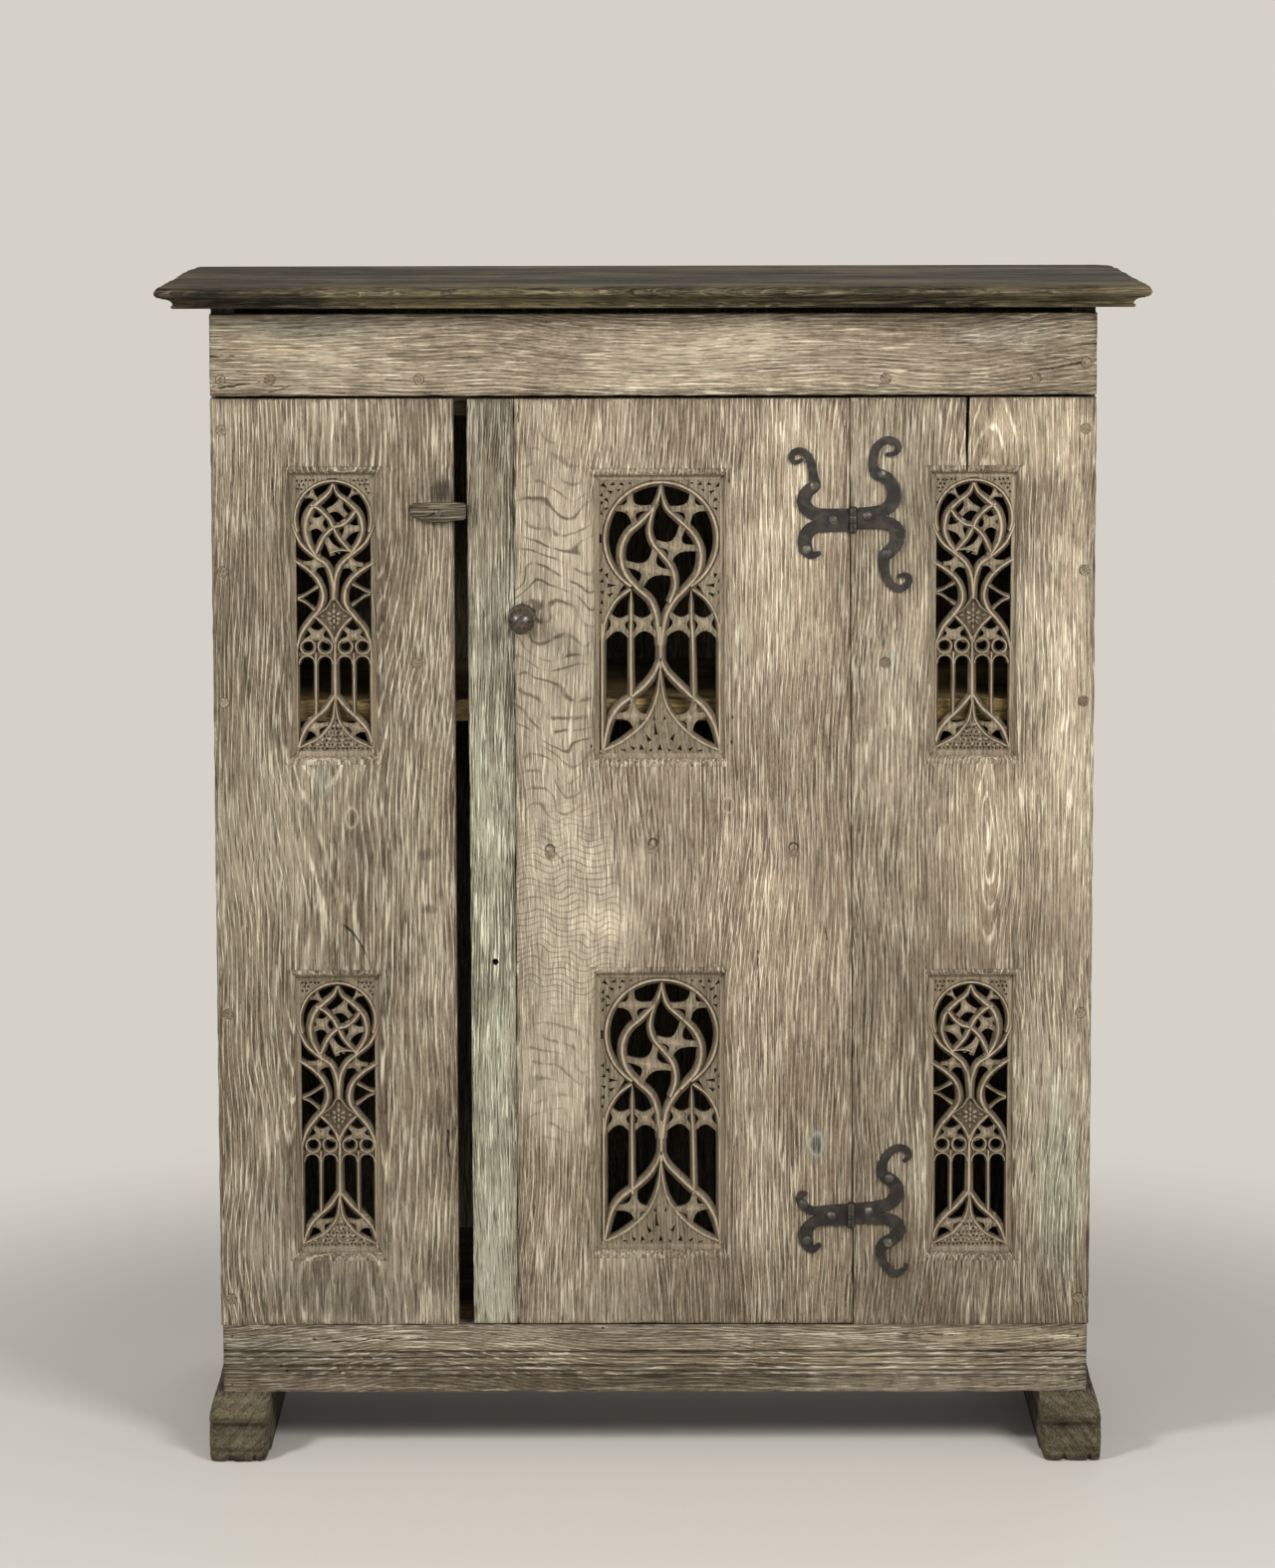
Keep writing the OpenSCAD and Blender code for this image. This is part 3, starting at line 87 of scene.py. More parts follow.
@dataclass(frozen=True)
class Signal:
    """What comes out of a node; reckoning with it adds more nodes to its tree."""

    wiring: "Wiring"
    socket: bpy.types.NodeSocket
    kind: str = "Math"

    def sum(self, operation: str, other: object = None, clamp: bool = False, output: int = 0) -> "Signal":
        """Works out a number or a vector from this one and another.

        Args:
            operation: Name of the sum, such as MULTIPLY.
            other: The second number, vector or signal.
            clamp: Whether a number is kept between 0 and 1.
            output: 1 for a vector sum that gives a number.

        Returns:
            The answer.
        """
        made = self.wiring.node(self.kind, self, other, operation=operation)
        if clamp:
            made.use_clamp = True
        return Signal(self.wiring, made.outputs[output], "Math" if output else self.kind)

    def __add__(self, other: object) -> "Signal":
        """This plus another."""
        return self.sum("ADD", other)

    def __sub__(self, other: object) -> "Signal":
        """This less another."""
        return self.sum("SUBTRACT", other)

    def __rsub__(self, other: float) -> "Signal":
        """A number less this."""
        made = self.wiring.node("Math", other, self, operation="SUBTRACT")
        return Signal(self.wiring, made.outputs[0])

    def __mul__(self, other: object) -> "Signal":
        """This times another."""
        return self.sum("MULTIPLY", other)

    def __truediv__(self, other: object) -> "Signal":
        """This over another."""
        return self.sum("DIVIDE", other)

    def __abs__(self) -> "Signal":
        """This without its sign."""
        return self.sum("ABSOLUTE")

    def top(self, other: object) -> "Signal":
        """The higher of this and another."""
        return self.sum("MAXIMUM", other)

    def least(self, other: object) -> "Signal":
        """The lower of this and another."""
        return self.sum("MINIMUM", other)

    def length(self) -> "Signal":
        """How long this vector is."""
        return self.sum("LENGTH", output=1)

    def dot(self, other: "Signal") -> "Signal":
        """How far this vector runs along another."""
        return self.sum("DOT_PRODUCT", other, output=1)

    def scaled(self, share: "Signal") -> "Signal":
        """This vector times a number."""
        made = self.wiring.node("VectorMath", self, operation="SCALE")
        self.wiring.put(made.inputs["Scale"], share)
        return Signal(self.wiring, made.outputs[0], self.kind)

    def split(self) -> list["Signal"]:
        """This vector's X, Y and Z."""
        return [Signal(self.wiring, out) for out in self.wiring.node("SeparateXYZ", self).outputs]

    def remap(self, low: float, high: float, start: float = 0.0, end: float = 1.0) -> "Signal":
        """Stretches the part between low and high to start and end, with soft ends."""
        made = self.wiring.node("MapRange", self, low, high, start, end, interpolation_type="SMOOTHSTEP")
        return Signal(self.wiring, made.outputs["Result"])


class Wiring:
    """Adds nodes to one node tree and joins them."""

    def __init__(self, tree: bpy.types.NodeTree) -> None:
        """Keeps the tree that is drawn on."""
        self.tree = tree

    def node(self, kind: str, *values: object, **settings: object) -> bpy.types.Node:
        """Adds a node.

        Args:
            kind: The node's type name without its ShaderNode prefix.
            *values: A value or signal for its first inputs in turn, or None to leave one as it is.
            **settings: Properties of the node.

        Returns:
            The new node.
        """
        made = self.tree.nodes.new("ShaderNode" + kind)
        for key, value in settings.items():
            setattr(made, key, value)
        for socket, value in zip(made.inputs, values):
            self.put(socket, value)
        return made

    def put(self, socket: bpy.types.NodeSocket, value: object) -> None:
        """Joins a socket to a signal or gives it a value.

        Args:
            socket: The input socket.
            value: What goes in; None leaves the socket as it is.
        """
        if isinstance(value, Signal):
            self.tree.links.new(value.socket, socket)
        elif value is not None:
            socket.default_value = value

    def out(self, node: bpy.types.Node, output: int | str = 0) -> Signal:
        """A node's output as a signal."""
        return Signal(self, node.outputs[output])

    def place(self) -> Signal:
        """The place on the object, in metres."""
        return Signal(self, self.node("TexCoord").outputs["Object"], "VectorMath")

    def join(self, x: Signal, y: Signal | None = None, z: Signal | None = None) -> Signal:
        """A vector of its parts."""
        return Signal(self, self.node("CombineXYZ", x, y, z).outputs[0], "VectorMath")

    def noise(self, place: Signal, scale: Vec3, detail: float, rough: float, bend: float) -> bpy.types.Node:
        """Adds soft noise, stretched by a scale for each axis.

        Args:
            place: Coordinates in metres.
            scale: Patches per metre along X, Y and Z.
            detail: Octaves of the noise.
            rough: Weight of the finer octaves.
            bend: Distortion of the noise.

        Returns:
            The noise node.
        """
        made = self.node("TexNoise", place * scale)
        for name, value in (("Scale", 1.0), ("Detail", detail), ("Roughness", rough), ("Distortion", bend)):
            self.put(made.inputs[name], value)
        return made

    def cloud(self, place: Signal, scale: Vec3, detail: float = 2.0, rough: float = 0.5, bend: float = 0.0) -> Signal:
        """Soft noise, about 0.25 to 0.75."""
        return Signal(self, self.noise(place, scale, detail, rough, bend).outputs["Fac"])

    def drift(self, place: Signal, scale: Vec3, reach: Vec3, detail: float = 2.0) -> Signal:
        """A soft random push, up to about half of its reach either way."""
        noisy = Signal(self, self.noise(place, scale, detail, 0.5, 0.0).outputs["Color"], "VectorMath")
        return (noisy - (0.5, 0.5, 0.5)) * reach

    def blend(self, share: object, a: object, b: object, mode: str = "MIX") -> Signal:
        """Mixes two colours.

        Args:
            share: How much of b shows, 0 to 1.
            a: Colour or signal underneath.
            b: Colour or signal on top.
            mode: Blend mode.

        Returns:
            The mixed colour.
        """
        made = self.node("Mix", share, None, None, None, None, None, a, b, data_type="RGBA", blend_type=mode)
        return Signal(self, made.outputs[2])

    def coats(self, colour: object, *coats: tuple[object, object]) -> Signal:
        """Lays coats over a colour in turn, each a share and a colour."""
        for share, tone in coats:
            colour = self.blend(share, colour, tone)
        return colour

    def emboss(self, shader: bpy.types.Node, strength: float, distance: float, height: Signal) -> None:
        """Gives a shader's surface the relief of a height.

        Args:
            shader: The shader's node.
            strength: How strongly the relief shows.
            distance: Its depth in metres.
            height: The height, as a signal.
        """
        made = self.node("Bump")
        for name, value in (("Strength", strength), ("Distance", distance), ("Height", height)):
            self.put(made.inputs[name], value)
        self.put(shader.inputs["Normal"], self.out(made))


class SharedGroup:
    """A node group that is built once and placed in many materials."""

    def __init__(self, name: str, vectors: Sequence[str], numbers: Sequence[str] = ()) -> None:
        """Makes the group's inputs.

        Args:
            name: Name of the group.
            vectors: Names of the vectors that it takes.
            numbers: Names of the numbers that it takes.
        """
        self.tree = bpy.data.node_groups.new(name, "ShaderNodeTree")
        self.wiring = Wiring(self.tree)
        for kind, labels in (("Vector", vectors), ("Float", numbers)):
            for label in labels:
                self.tree.interface.new_socket(label, in_out="INPUT", socket_type="NodeSocket" + kind)
        sockets = self.tree.nodes.new("NodeGroupInput").outputs
        self.takes = [Signal(self.wiring, sockets[label], "VectorMath") for label in vectors]
        self.takes += [Signal(self.wiring, sockets[label]) for label in numbers]

    def give(self, **masks: Signal) -> "SharedGroup":
        """Makes the group's outputs, each a mask from 0 to 1 or a value.

        Args:
            **masks: The outputs by name.

        Returns:
            The finished group.
        """
        for label in masks:
            self.tree.interface.new_socket(label, in_out="OUTPUT", socket_type="NodeSocketFloat")
        gives = self.tree.nodes.new("NodeGroupOutput").inputs
        for label, value in masks.items():
            self.wiring.put(gives[label], value)
        return self

    def place(self, w: Wiring, **values: object) -> dict[str, Signal]:
        """Places the group in a material.

        Args:
            w: Where it goes.
            **values: A value or signal for each input.

        Returns:
            The outputs by name.
        """
        made = w.node("Group", node_tree=self.tree)
        for label, value in values.items():
            w.put(made.inputs[label], value)
        return {socket.name: Signal(w, socket) for socket in made.outputs}


def oak_figure() -> SharedGroup:
    """The figure of sawn oak with its grain along Z: rings round a heart that may lean or dip.

    Returns:
        A group that turns a place into masks of the limed rings, pores, rays and checks.
    """
    group = SharedGroup("oak_figure", ("Place", "Shift", "Heart"), ("Lean", "Dip", "Reach", "Rings", "Wander"))
    w = group.wiring
    place, shift, heart, lean, dip, reach, rings, wander = group.takes
    shifted = place + shift
    push = w.drift(shifted, (3.0, 3.0, 2.2), (0.09, 0.09, 0.0), 1.5)
    x, y, up = (place + push.scaled(wander) - heart).split()
    far = up / reach
    flat = 1.0 - w.out(w.node("Math", 1.0, far * far + 1.0, operation="DIVIDE"))
    radius = w.join(x, y + up * lean + dip * flat).length()
    turns = radius * rings + w.cloud(shifted, (34, 34, 5), 2.5, 0.6) * 2.2
    early = (abs(turns.sum("FRACT") - 0.5) * 2.0).remap(0.64, 0.88)
    flow = w.join(radius, y * 0.5, up) + shift
    streak = w.cloud(flow, (60, 24, 1.7), 3.0, 0.6)
    fine = w.cloud(flow, (300, 80, 9.0), 2.5, 0.62)
    grit = w.cloud(shifted, (620, 620, 170), 3.0, 0.66)
    dashes = w.cloud(flow, (320, 90, 14), 2.5, 0.62).remap(0.38, 0.56)
    short = w.cloud(shifted, (480, 480, 20), 2.5, 0.62)
    lime = early * (dashes * 0.7 + 0.3) * (short.remap(0.40, 0.52) * 0.8 + 0.2)
    lime = lime.top(short.remap(0.54, 0.62) * 0.72)
    pores = w.cloud(shifted, (560, 560, 24), 2.0, 0.6).remap(0.36, 0.46, 1.0, 0.0)
    rays = w.cloud(flow, (42, 42, 170), 2.0, 0.55, 0.4).remap(0.54, 0.64)
    rays = rays * w.cloud(shifted, (6, 6, 3.4), 2.0).remap(0.45, 0.62)
    checks = abs(w.cloud(flow, (16, 16, 0.5), 1.0, 0.4) - 0.5).remap(0.0, 0.0022, 1.0, 0.0)
    checks = checks * w.cloud(shifted, (13, 13, 3.0), 1.0).remap(0.60, 0.66)
    return group.give(
        Growth=early, Lime=lime, Pores=pores, Streak=streak, Fine=fine, Grit=grit, Rays=rays, Checks=checks,
        Patches=w.cloud(shifted, (7.0, 7.0, 3.1), 5.0, 0.64),
        Relief=streak * 0.15 + fine * 0.5 + grit * 0.5 - lime * 0.55 - pores * 0.4 - checks * 1.8,
    )


def ray_waves() -> SharedGroup:
    """Brown rays that lie across quarter-sawn oak in waves.

    Returns:
        A group that gives 1 on a ray, and how far the oval that holds them reaches.
    """
    group = SharedGroup("ray_waves", ("Place", "Centre", "Spread"), ("Turns", "Swing", "Bend", "Broken"))
    w = group.wiring
    place, centre, spread, turns, swing, bend, broken = group.takes
    x, _, z = place.split()
    sway = (x * bend + w.cloud(place, (9, 0, 13), 1.0) * 11.0).sum("SINE")
    level = z + sway * swing + w.cloud(place, (8, 0, 3.5), 1.0) * 0.05
    step = level * turns + w.cloud(place, (55, 0, 55), 2.0) * 0.4
    line = abs(step.sum("FRACT") - 0.5).remap(0.34, 0.47)
    torn = w.cloud(w.join(x * 34.0, None, level * (turns * 0.8)), (1, 1, 1), 2.5, 0.6) - broken
    reach = ((place - centre) * spread).length()
    zone = (reach + w.cloud(place, (26, 0, 16), 3.0, 0.6) * 0.9).remap(0.95, 1.5, 1.0, 0.0)
    return group.give(Wave=line * torn.sum("MULTIPLY", 9.0, clamp=True) * zone, Zone=zone)


def scored_line() -> SharedGroup:
    """A group that gives 1 in a dark line scored along the front of a rail."""
    group = SharedGroup("scored_line", ("Place",), ("Level", "Width"))
    w = group.wiring
    place, level, width = group.takes
    waver = (w.cloud(place, (9, 0, 9), 3.0, 0.6) - 0.5) * 0.007
    thick = width * w.cloud(place, (16, 0, 90), 3.0, 0.6).remap(0.3, 0.7, 0.4, 1.6)
    away = abs(place.split()[2] + waver - level)
    return group.give(Line=(away / thick).remap(0.3, 1.0, 1.0, 0.0))


def edge_band() -> SharedGroup:
    """A group that gives 1 at the edge of a board's face and 0 further in."""
    group = SharedGroup("edge_band", ("Place", "Low", "High"), ("Width",))
    w = group.wiring
    place, low, high, width = group.takes
    x, _, z = (place - low).least(high - place).split()
    reach = width * w.cloud(place, (38, 38, 38), 3.0, 0.6).remap(0.3, 0.7, 0.15, 1.6)
    share = x.least(z).sum("DIVIDE", reach, clamp=True)
    return group.give(Band=(1.0 - share).sum("POWER", 1.6))


def stain_spot() -> SharedGroup:
    """A group that gives 1 in the middle of a ragged oval on the front plane, and 1 on its rim; it shapes discoloured
    patches and knots, and broad washes of painted light and painted shade.
    """
    group = SharedGroup("stain_spot", ("Place", "Centre", "Spread"), ("Ragged",))
    place, centre, spread, ragged = group.takes
    rough = group.wiring.cloud(place, (90, 90, 34), 4.0, 0.68)
    reach = ((place - centre) * spread).length() + (rough - 0.5) * ragged
    return group.give(Spot=reach.remap(0.25, 1.0, 1.0, 0.0), Rim=abs(reach - 0.85).remap(0.0, 0.24, 1.0, 0.0))


def round_gap() -> SharedGroup:
    """A group that gives 1 in the thin dark ring round a driven peg or nail."""
    group = SharedGroup("round_gap", ("Place", "Centre"), ("Radius",))
    place, centre, radius = group.takes
    reach = ((place - centre) * (1, 0, 1)).length() / radius
    return group.give(Ring=abs(reach - 1.0).remap(0.04, 0.3, 1.0, 0.0))


def drying_crack() -> SharedGroup:
    """A group that gives 1 inside a wavering crack between two points of the front plane."""
    group = SharedGroup("drying_crack", ("Place", "Start", "Run"), ("Width",))
    w = group.wiring
    place, start, run, width = group.takes
    flat = place * (1, 0, 1)
    away = flat - start
    share = away.dot(run).sum("DIVIDE", run.dot(run), clamp=True)
    shake = w.drift(flat, (60, 0, 60), (0.007, 0, 0.007))
    reach = (away - run.scaled(share) + shake).length()
    return group.give(Crack=(reach / (width * (1.0 - share * 0.8))).remap(0.35, 0.75, 1.0, 0.0))


def worm_holes() -> SharedGroup:
    """A group that gives 1 inside a small dark hole, with few holes where Amount is low."""
    group = SharedGroup("worm_holes", ("Place",), ("Amount",))
    w = group.wiring
    place, amount = group.takes
    cells = w.node("TexVoronoi", place, feature="F1", distance="EUCLIDEAN")
    w.put(cells.inputs["Scale"], 95.0)
    chosen = w.out(w.node("SeparateColor", w.out(cells, "Color"))).sum("LESS_THAN", amount)
    return group.give(Hole=w.out(cells, "Distance").remap(0.07, 0.13, 1.0, 0.0) * chosen)


# Finishes


class Grain(Enum):
    """Which way the grain of a piece runs."""

    UP = (0.0, 0.0, 0.0)
    ACROSS = (0.0, math.pi / 2, 0.0)
    BACK = (math.pi / 2, 0.0, 0.0)

    def turned(self, point: Vector) -> Vector:
        """A point of the cupboard in the grain's own axes, with the grain along Z."""
        return Euler(self.value).to_matrix() @ point


@dataclass(frozen=True)
class StainAndPaintedLight:
    """A discoloured patch, pale patch, knot, or broad wash of painted light and painted shade on the front of a board,
    placed in millimetres.
    """

    x: float
    z: float
    wide: float
    high: float
    tone: Tone
    share: float = 0.6
    ragged: float = 0.9
    rim: Tone | None = None


@dataclass(frozen=True)
class RayBand:
    """Brown rays across an oval of a board's front, in millimetres."""

    x: float
    z: float
    wide: float
    high: float
    pitch: float
    swing: float
    bend: float
    broken: float
    share: float


@dataclass(frozen=True)
class Crack:
    """A drying crack on the front of a board, in millimetres; it starts wide and runs out."""

    x: float
    z: float
    to_x: float
    to_z: float
    wide: float


@dataclass(frozen=True)
class Figure:
    """How a board was sawn: where the tree's heart lies, in millimetres, and what its face shows."""

    heart: Vec3 | None = None
    lean: float = 0.0
    dip: float = 0.0
    reach: float = 0.12
    rings: float = 285
    # Discoloured patches and knots, and broad washes of painted light and painted shade.
    stains_and_painted_light: tuple[StainAndPaintedLight, ...] = ()
    cracks: tuple[Crack, ...] = ()
    pegs: tuple[Vec2, ...] = ()
    rays: tuple[RayBand, ...] = ()
    scores: tuple[Vec2, ...] = ()

    PEG_RADIUS: ClassVar[float] = 5.2


@dataclass(frozen=True)
class OakFinish:
    """Weathered oak: its tones and how strongly each trait shows."""

    slot: str
    dark: Tone
    body: Tone
    light: Tone
    pore: Tone
    lime: Tone
    limed: float
    ringed: float
    rayed: float = 0.3
    patched: float = 0.5
    wander: float = 1.0
    wormed: float = 0.0
    edge: Tone = (66, 55, 42)
    edge_share: float = 0.5
    edge_width: float = 0.008
    # The next three paint light onto carved work: shade darkens its recesses down to the depth given first (0 for
    # none), and a painted highlight lightens its ridges.
    hollow: float = 0.0
    recess_shade_tone: Tone = (60, 47, 34)
    ridge_highlight_tone: Tone = (200, 180, 152)
    smooth: float = 0.68
    dull: float = 0.92
    relief: float = 0.0022

    CRACK: ClassVar[Tone] = (30, 24, 18)
    HOLE: ClassVar[Tone] = (26, 20, 15)
    GLOSS: ClassVar[float] = 0.22
    STRONGEST_TINT: ClassVar[float] = 1.9

    def wood(self, w: Wiring, f: dict[str, Signal]) -> Signal:
        """Mixes the colour of plain weathered wood.

        Args:
            w: The material's wiring.
            f: The masks of its figure.

        Returns:
            The colour.
        """
        dark, body, light, pore, lime = map(linear, (self.dark, self.body, self.light, self.pore, self.lime))
        patches = f["Patches"]
        return w.coats(
            w.blend(f["Streak"].remap(0.32, 0.68), dark, light),
            (0.55, body),
            ((1.0 - f["Growth"]) * self.ringed, dark),
            (f["Fine"].remap(0.42, 0.58) * 0.4, light),
            (f["Grit"].remap(0.38, 0.52, 1.0, 0.0) * 0.5, pore),
            (patches.remap(0.46, 0.68) * self.patched, w.blend(0.35, light, lime)),
            (patches.remap(0.30, 0.50, 1.0, 0.0) * self.patched, dark),
            (f["Rays"] * self.rayed, w.blend(0.5, light, pore)),
            (f["Pores"] * 0.7, pore),
            (f["Lime"] * patches.remap(0.32, 0.58, 0.5, 1.0) * self.limed, lime),
        )

    def marks(self, w: Wiring, kit: "Finishes", place: Signal, colour: Signal, figure: Figure, front: float) -> Signal:
        """Lays the board's own rays, discoloured patches and knots, and broad washes of painted light and painted shade
        over its colour.

        Args:
            w: The material's wiring.
            kit: The shared node groups.
            place: Place on the piece.
            colour: Colour so far.
            figure: What the board's face shows.
            front: Y of its face.

        Returns:
            The colour.
        """
        for rays in figure.rays:
            band = kit.waves.place(
                w, Place=place, Centre=(rays.x * MM, front, rays.z * MM),
                Spread=(2000 / rays.wide, 0.0, 2000 / rays.high), Turns=1000 / rays.pitch,
                Swing=rays.swing * MM, Bend=rays.bend, Broken=rays.broken,
            )
            brown = w.blend(0.5, linear(self.dark), linear(self.pore))
            colour = w.coats(colour, (band["Zone"] * 0.22, linear(self.lime)), (band["Wave"] * rays.share, brown))
        # Discoloured patches, knots, and broad washes of painted light and painted shade: brighter where the lamps fall
        # strongly, darker low down and on the left.
        for stain_and_painted_light_mark in figure.stains_and_painted_light:
            spot = kit.stains_and_painted_light.place(
                w, Place=place, Centre=(stain_and_painted_light_mark.x * MM, front, stain_and_painted_light_mark.z * MM),
                Spread=(2000 / stain_and_painted_light_mark.wide, 0.0, 2000 / stain_and_painted_light_mark.high), Ragged=stain_and_painted_light_mark.ragged,
            )
            tone = linear(stain_and_painted_light_mark.tone)
            tint = tuple(min(a / b, self.STRONGEST_TINT) for a, b in zip(tone, linear(self.body)))
            tinted = w.blend(0.25, w.blend(1.0, colour, tint, "MULTIPLY"), tone)
            colour = w.blend(spot["Spot"] * stain_and_painted_light_mark.share, colour, tinted)
            if stain_and_painted_light_mark.rim:
                colour = w.blend(spot["Rim"] * 0.7, colour, linear(stain_and_painted_light_mark.rim))
        return colour

    @staticmethod
    def cuts(w: Wiring, kit: "Finishes", place: Signal, figure: Figure) -> Signal | float:
        """Gathers what is cut deep into the board: scored lines, cracks and the gaps round pegs.

        Args:
            w: The material's wiring.
            kit: The shared node groups.
            place: Place on the piece.
            figure: What the board's face shows.

        Returns:
            A mask of the cuts.
        """
        deep: Signal | float = 0.0
        for level, wide in figure.scores:
            line = kit.scores.place(w, Place=place, Level=level * MM, Width=wide * MM)["Line"]
            deep = (line * 0.75).top(deep)
        for crack in figure.cracks:
            run = ((crack.to_x - crack.x) * MM, 0.0, (crack.to_z - crack.z) * MM)
            start = (crack.x * MM, 0.0, crack.z * MM)
            deep = kit.cracks.place(w, Place=place, Start=start, Run=run, Width=crack.wide * MM)["Crack"].top(deep)
        for x, z in figure.pegs:
            ring = kit.gaps.place(w, Place=place, Centre=(x * MM, 0.0, z * MM), Radius=figure.PEG_RADIUS * MM)["Ring"]
            deep = (ring * 0.8).top(deep)
        return deep

    def paint_ridge_highlight_and_recess_shade(self, w: Wiring, place: Signal, colour: Signal, f: dict[str, Signal], front: float) -> Signal:
        """Paints a highlight on the ridges of carved work and painted shade into its recesses, by depth below its face.

        Args:
            w: The material's wiring.
            place: Place on the piece.
            colour: Colour so far.
            f: The masks of its figure.
            front: Y of its face.

        Returns:
            The colour.
        """
        # Painted light by depth below the face: a pale highlight near the face, shade darkening the deeper parts.
        sunk = place.split()[1] - front + (f["Patches"] - 0.5) * 0.004
        ridge_highlight_share = sunk.remap(0.0004, 0.0026, 0.75, 0.0) * f["Fine"].remap(0.34, 0.6, 0.45, 1.0)
        return w.coats(
            colour, (ridge_highlight_share, linear(self.ridge_highlight_tone)),
                (sunk.remap(0.0016, self.hollow, 0.0, 0.85), linear(self.recess_shade_tone)),
        )

    def material(
        self,
        name: str,
        kit: "Finishes",
        grain: Grain,
        shift: Vec3,
        box: tuple[Vector, Vector],
        figure: Figure,
    ) -> bpy.types.Material:
        """Makes the finish for one piece of wood.

        Args:
            name: Name of the material.
            kit: The shared node groups.
            grain: Which way the grain runs.
            shift: Moves the figure, so that no two pieces look alike.
            box: Lowest and highest corner of the piece.
            figure: How it was sawn and what its front shows.

        Returns:
            The material.
        """
        made, w, shader = kit.blank(name, linear(self.body))
        place = w.place()
        aligned = w.node("Mapping", place, None, grain.value)
        if figure.heart:
            heart = Vector(figure.heart) * MM
        else:
            x, y, z = (math.sin(part * waves) for part, waves in zip(shift, (9, 7, 5)))
            heart = (box[0] + box[1]) / 2 + Vector((0.21 * x, 0.09 + 0.03 * y, 0.16 * z))
        f = kit.figure.place(
            w, Place=w.out(aligned), Shift=shift, Heart=tuple(grain.turned(heart)), Lean=figure.lean,
            Dip=figure.dip * MM, Reach=figure.reach, Rings=figure.rings, Wander=self.wander,
        )
        colour = self.wood(w, f)
        if self.edge_share:
            corners = {"Low": tuple(box[0]), "High": tuple(box[1])}
            band = kit.edges.place(w, Place=place, Width=self.edge_width, **corners)["Band"]
            colour = w.blend(band * self.edge_share, colour, linear(self.edge))
        # Carved work gets a painted highlight on its ridges and painted shade in its recesses.
        if self.hollow:
            colour = self.paint_ridge_highlight_and_recess_shade(w, place, colour, f, box[0].y)
        colour = self.marks(w, kit, place, colour, figure, box[0].y)
        deep = self.cuts(w, kit, place, figure)
        colour = w.coats(colour, (deep * 0.9, linear(self.CRACK)), (f["Checks"] * 0.85, linear(self.CRACK)))
        height = f["Relief"] - deep * 2.0
        if self.wormed:
            hole = kit.worms.place(w, Place=place, Amount=self.wormed)["Hole"]
            colour = w.blend(hole, colour, linear(self.HOLE))
            height = height - hole * 1.5
        w.put(shader.inputs["Base Color"], colour)
        w.put(shader.inputs["Roughness"], f["Streak"].remap(0.35, 0.65, self.dull, self.smooth))
        shader.inputs["Specular IOR Level"].default_value = self.GLOSS
        w.emboss(shader, 1.0, self.relief, height)
        return made


@dataclass(frozen=True)
class IronFinish:
    """Black forged iron, pale along its rims: partly rubbed wear, partly a painted highlight."""

    black: Tone = (34, 30, 27)
    rubbed: Tone = (58, 52, 43)
    rust: Tone = (52, 42, 30)
    # The rim tone and its share, worn, make the pale rims: partly rubbed wear, partly a painted highlight.
    rim: Tone = (132, 124, 112)
    front: float | None = None
    worn: float = 0.45
    metal: float = 0.45

    def material(self, name: str, kit: "Finishes") -> bpy.types.Material:
        """Makes the finish.

        Args:
            name: Name of the material.
            kit: The shared node groups.

        Returns:
            The material.
        """
        made, w, shader = kit.blank(name, linear(self.black))
        place = w.place()
        hammered = w.cloud(place, (85, 85, 85), 3.0, 0.5)
        grit = w.cloud(place, (700, 700, 700), 3.0, 0.65)
        rusted = w.cloud(place, (30, 30, 30), 4.0, 0.7).remap(0.55, 0.7) * 0.5
        colour = w.blend(hammered.remap(0.42, 0.66), linear(self.black), linear(self.rubbed))
        colour = w.blend(rusted, colour, linear(self.rust))
        # A pale band on the bevelled rim just behind the front face: partly rubbed wear, partly a painted highlight.
        if self.front is not None:
            back = place.split()[1] - self.front
            rim = back.remap(0.00015, 0.0005) * back.remap(0.0009, 0.0016, 1.0, 0.0) * grit.remap(0.38, 0.58)
            colour = w.blend(rim * self.worn, colour, linear(self.rim))
        w.put(shader.inputs["Base Color"], colour)
        shader.inputs["Metallic"].default_value = self.metal
        w.put(shader.inputs["Roughness"], hammered.remap(0.35, 0.7, 0.6, 0.36))
        w.emboss(shader, 0.7, 0.0014, hammered + grit * 0.2)
        return made


@dataclass(frozen=True)
class PolishedFinish:
    """Dark turned wood, polished by hands, with the turner's rings round its axis."""

    deep: Tone = (36, 28, 19)
    worn: Tone = (84, 68, 48)
    groove: Tone = (18, 12, 8)
    rings: float = 150.0
    coat: Vec2 = (0.4, 0.2)

    def material(self, name: str, kit: "Finishes") -> bpy.types.Material:
        """Makes the finish.

        Args:
            name: Name of the material.
            kit: The shared node groups.

        Returns:
            The material.
        """
        made, w, shader = kit.blank(name, linear(self.deep))
        place = w.place()
        streaks = w.cloud(place, (260, 40, 260), 3.0, 0.6)
        ring = abs((place.split()[1] * self.rings).sum("FRACT") - 0.5).remap(0.40, 0.47)
        colour = w.blend(streaks.remap(0.4, 0.68), linear(self.deep), linear(self.worn))
        w.put(shader.inputs["Base Color"], w.blend(ring * 0.7, colour, linear(self.groove)))
        w.put(shader.inputs["Roughness"], streaks.remap(0.35, 0.7, 0.26, 0.42))
        for label, value in zip(("Coat Weight", "Coat Roughness"), self.coat):
            shader.inputs[label].default_value = value
        w.emboss(shader, 0.6, 0.0005, streaks - ring)
        return made


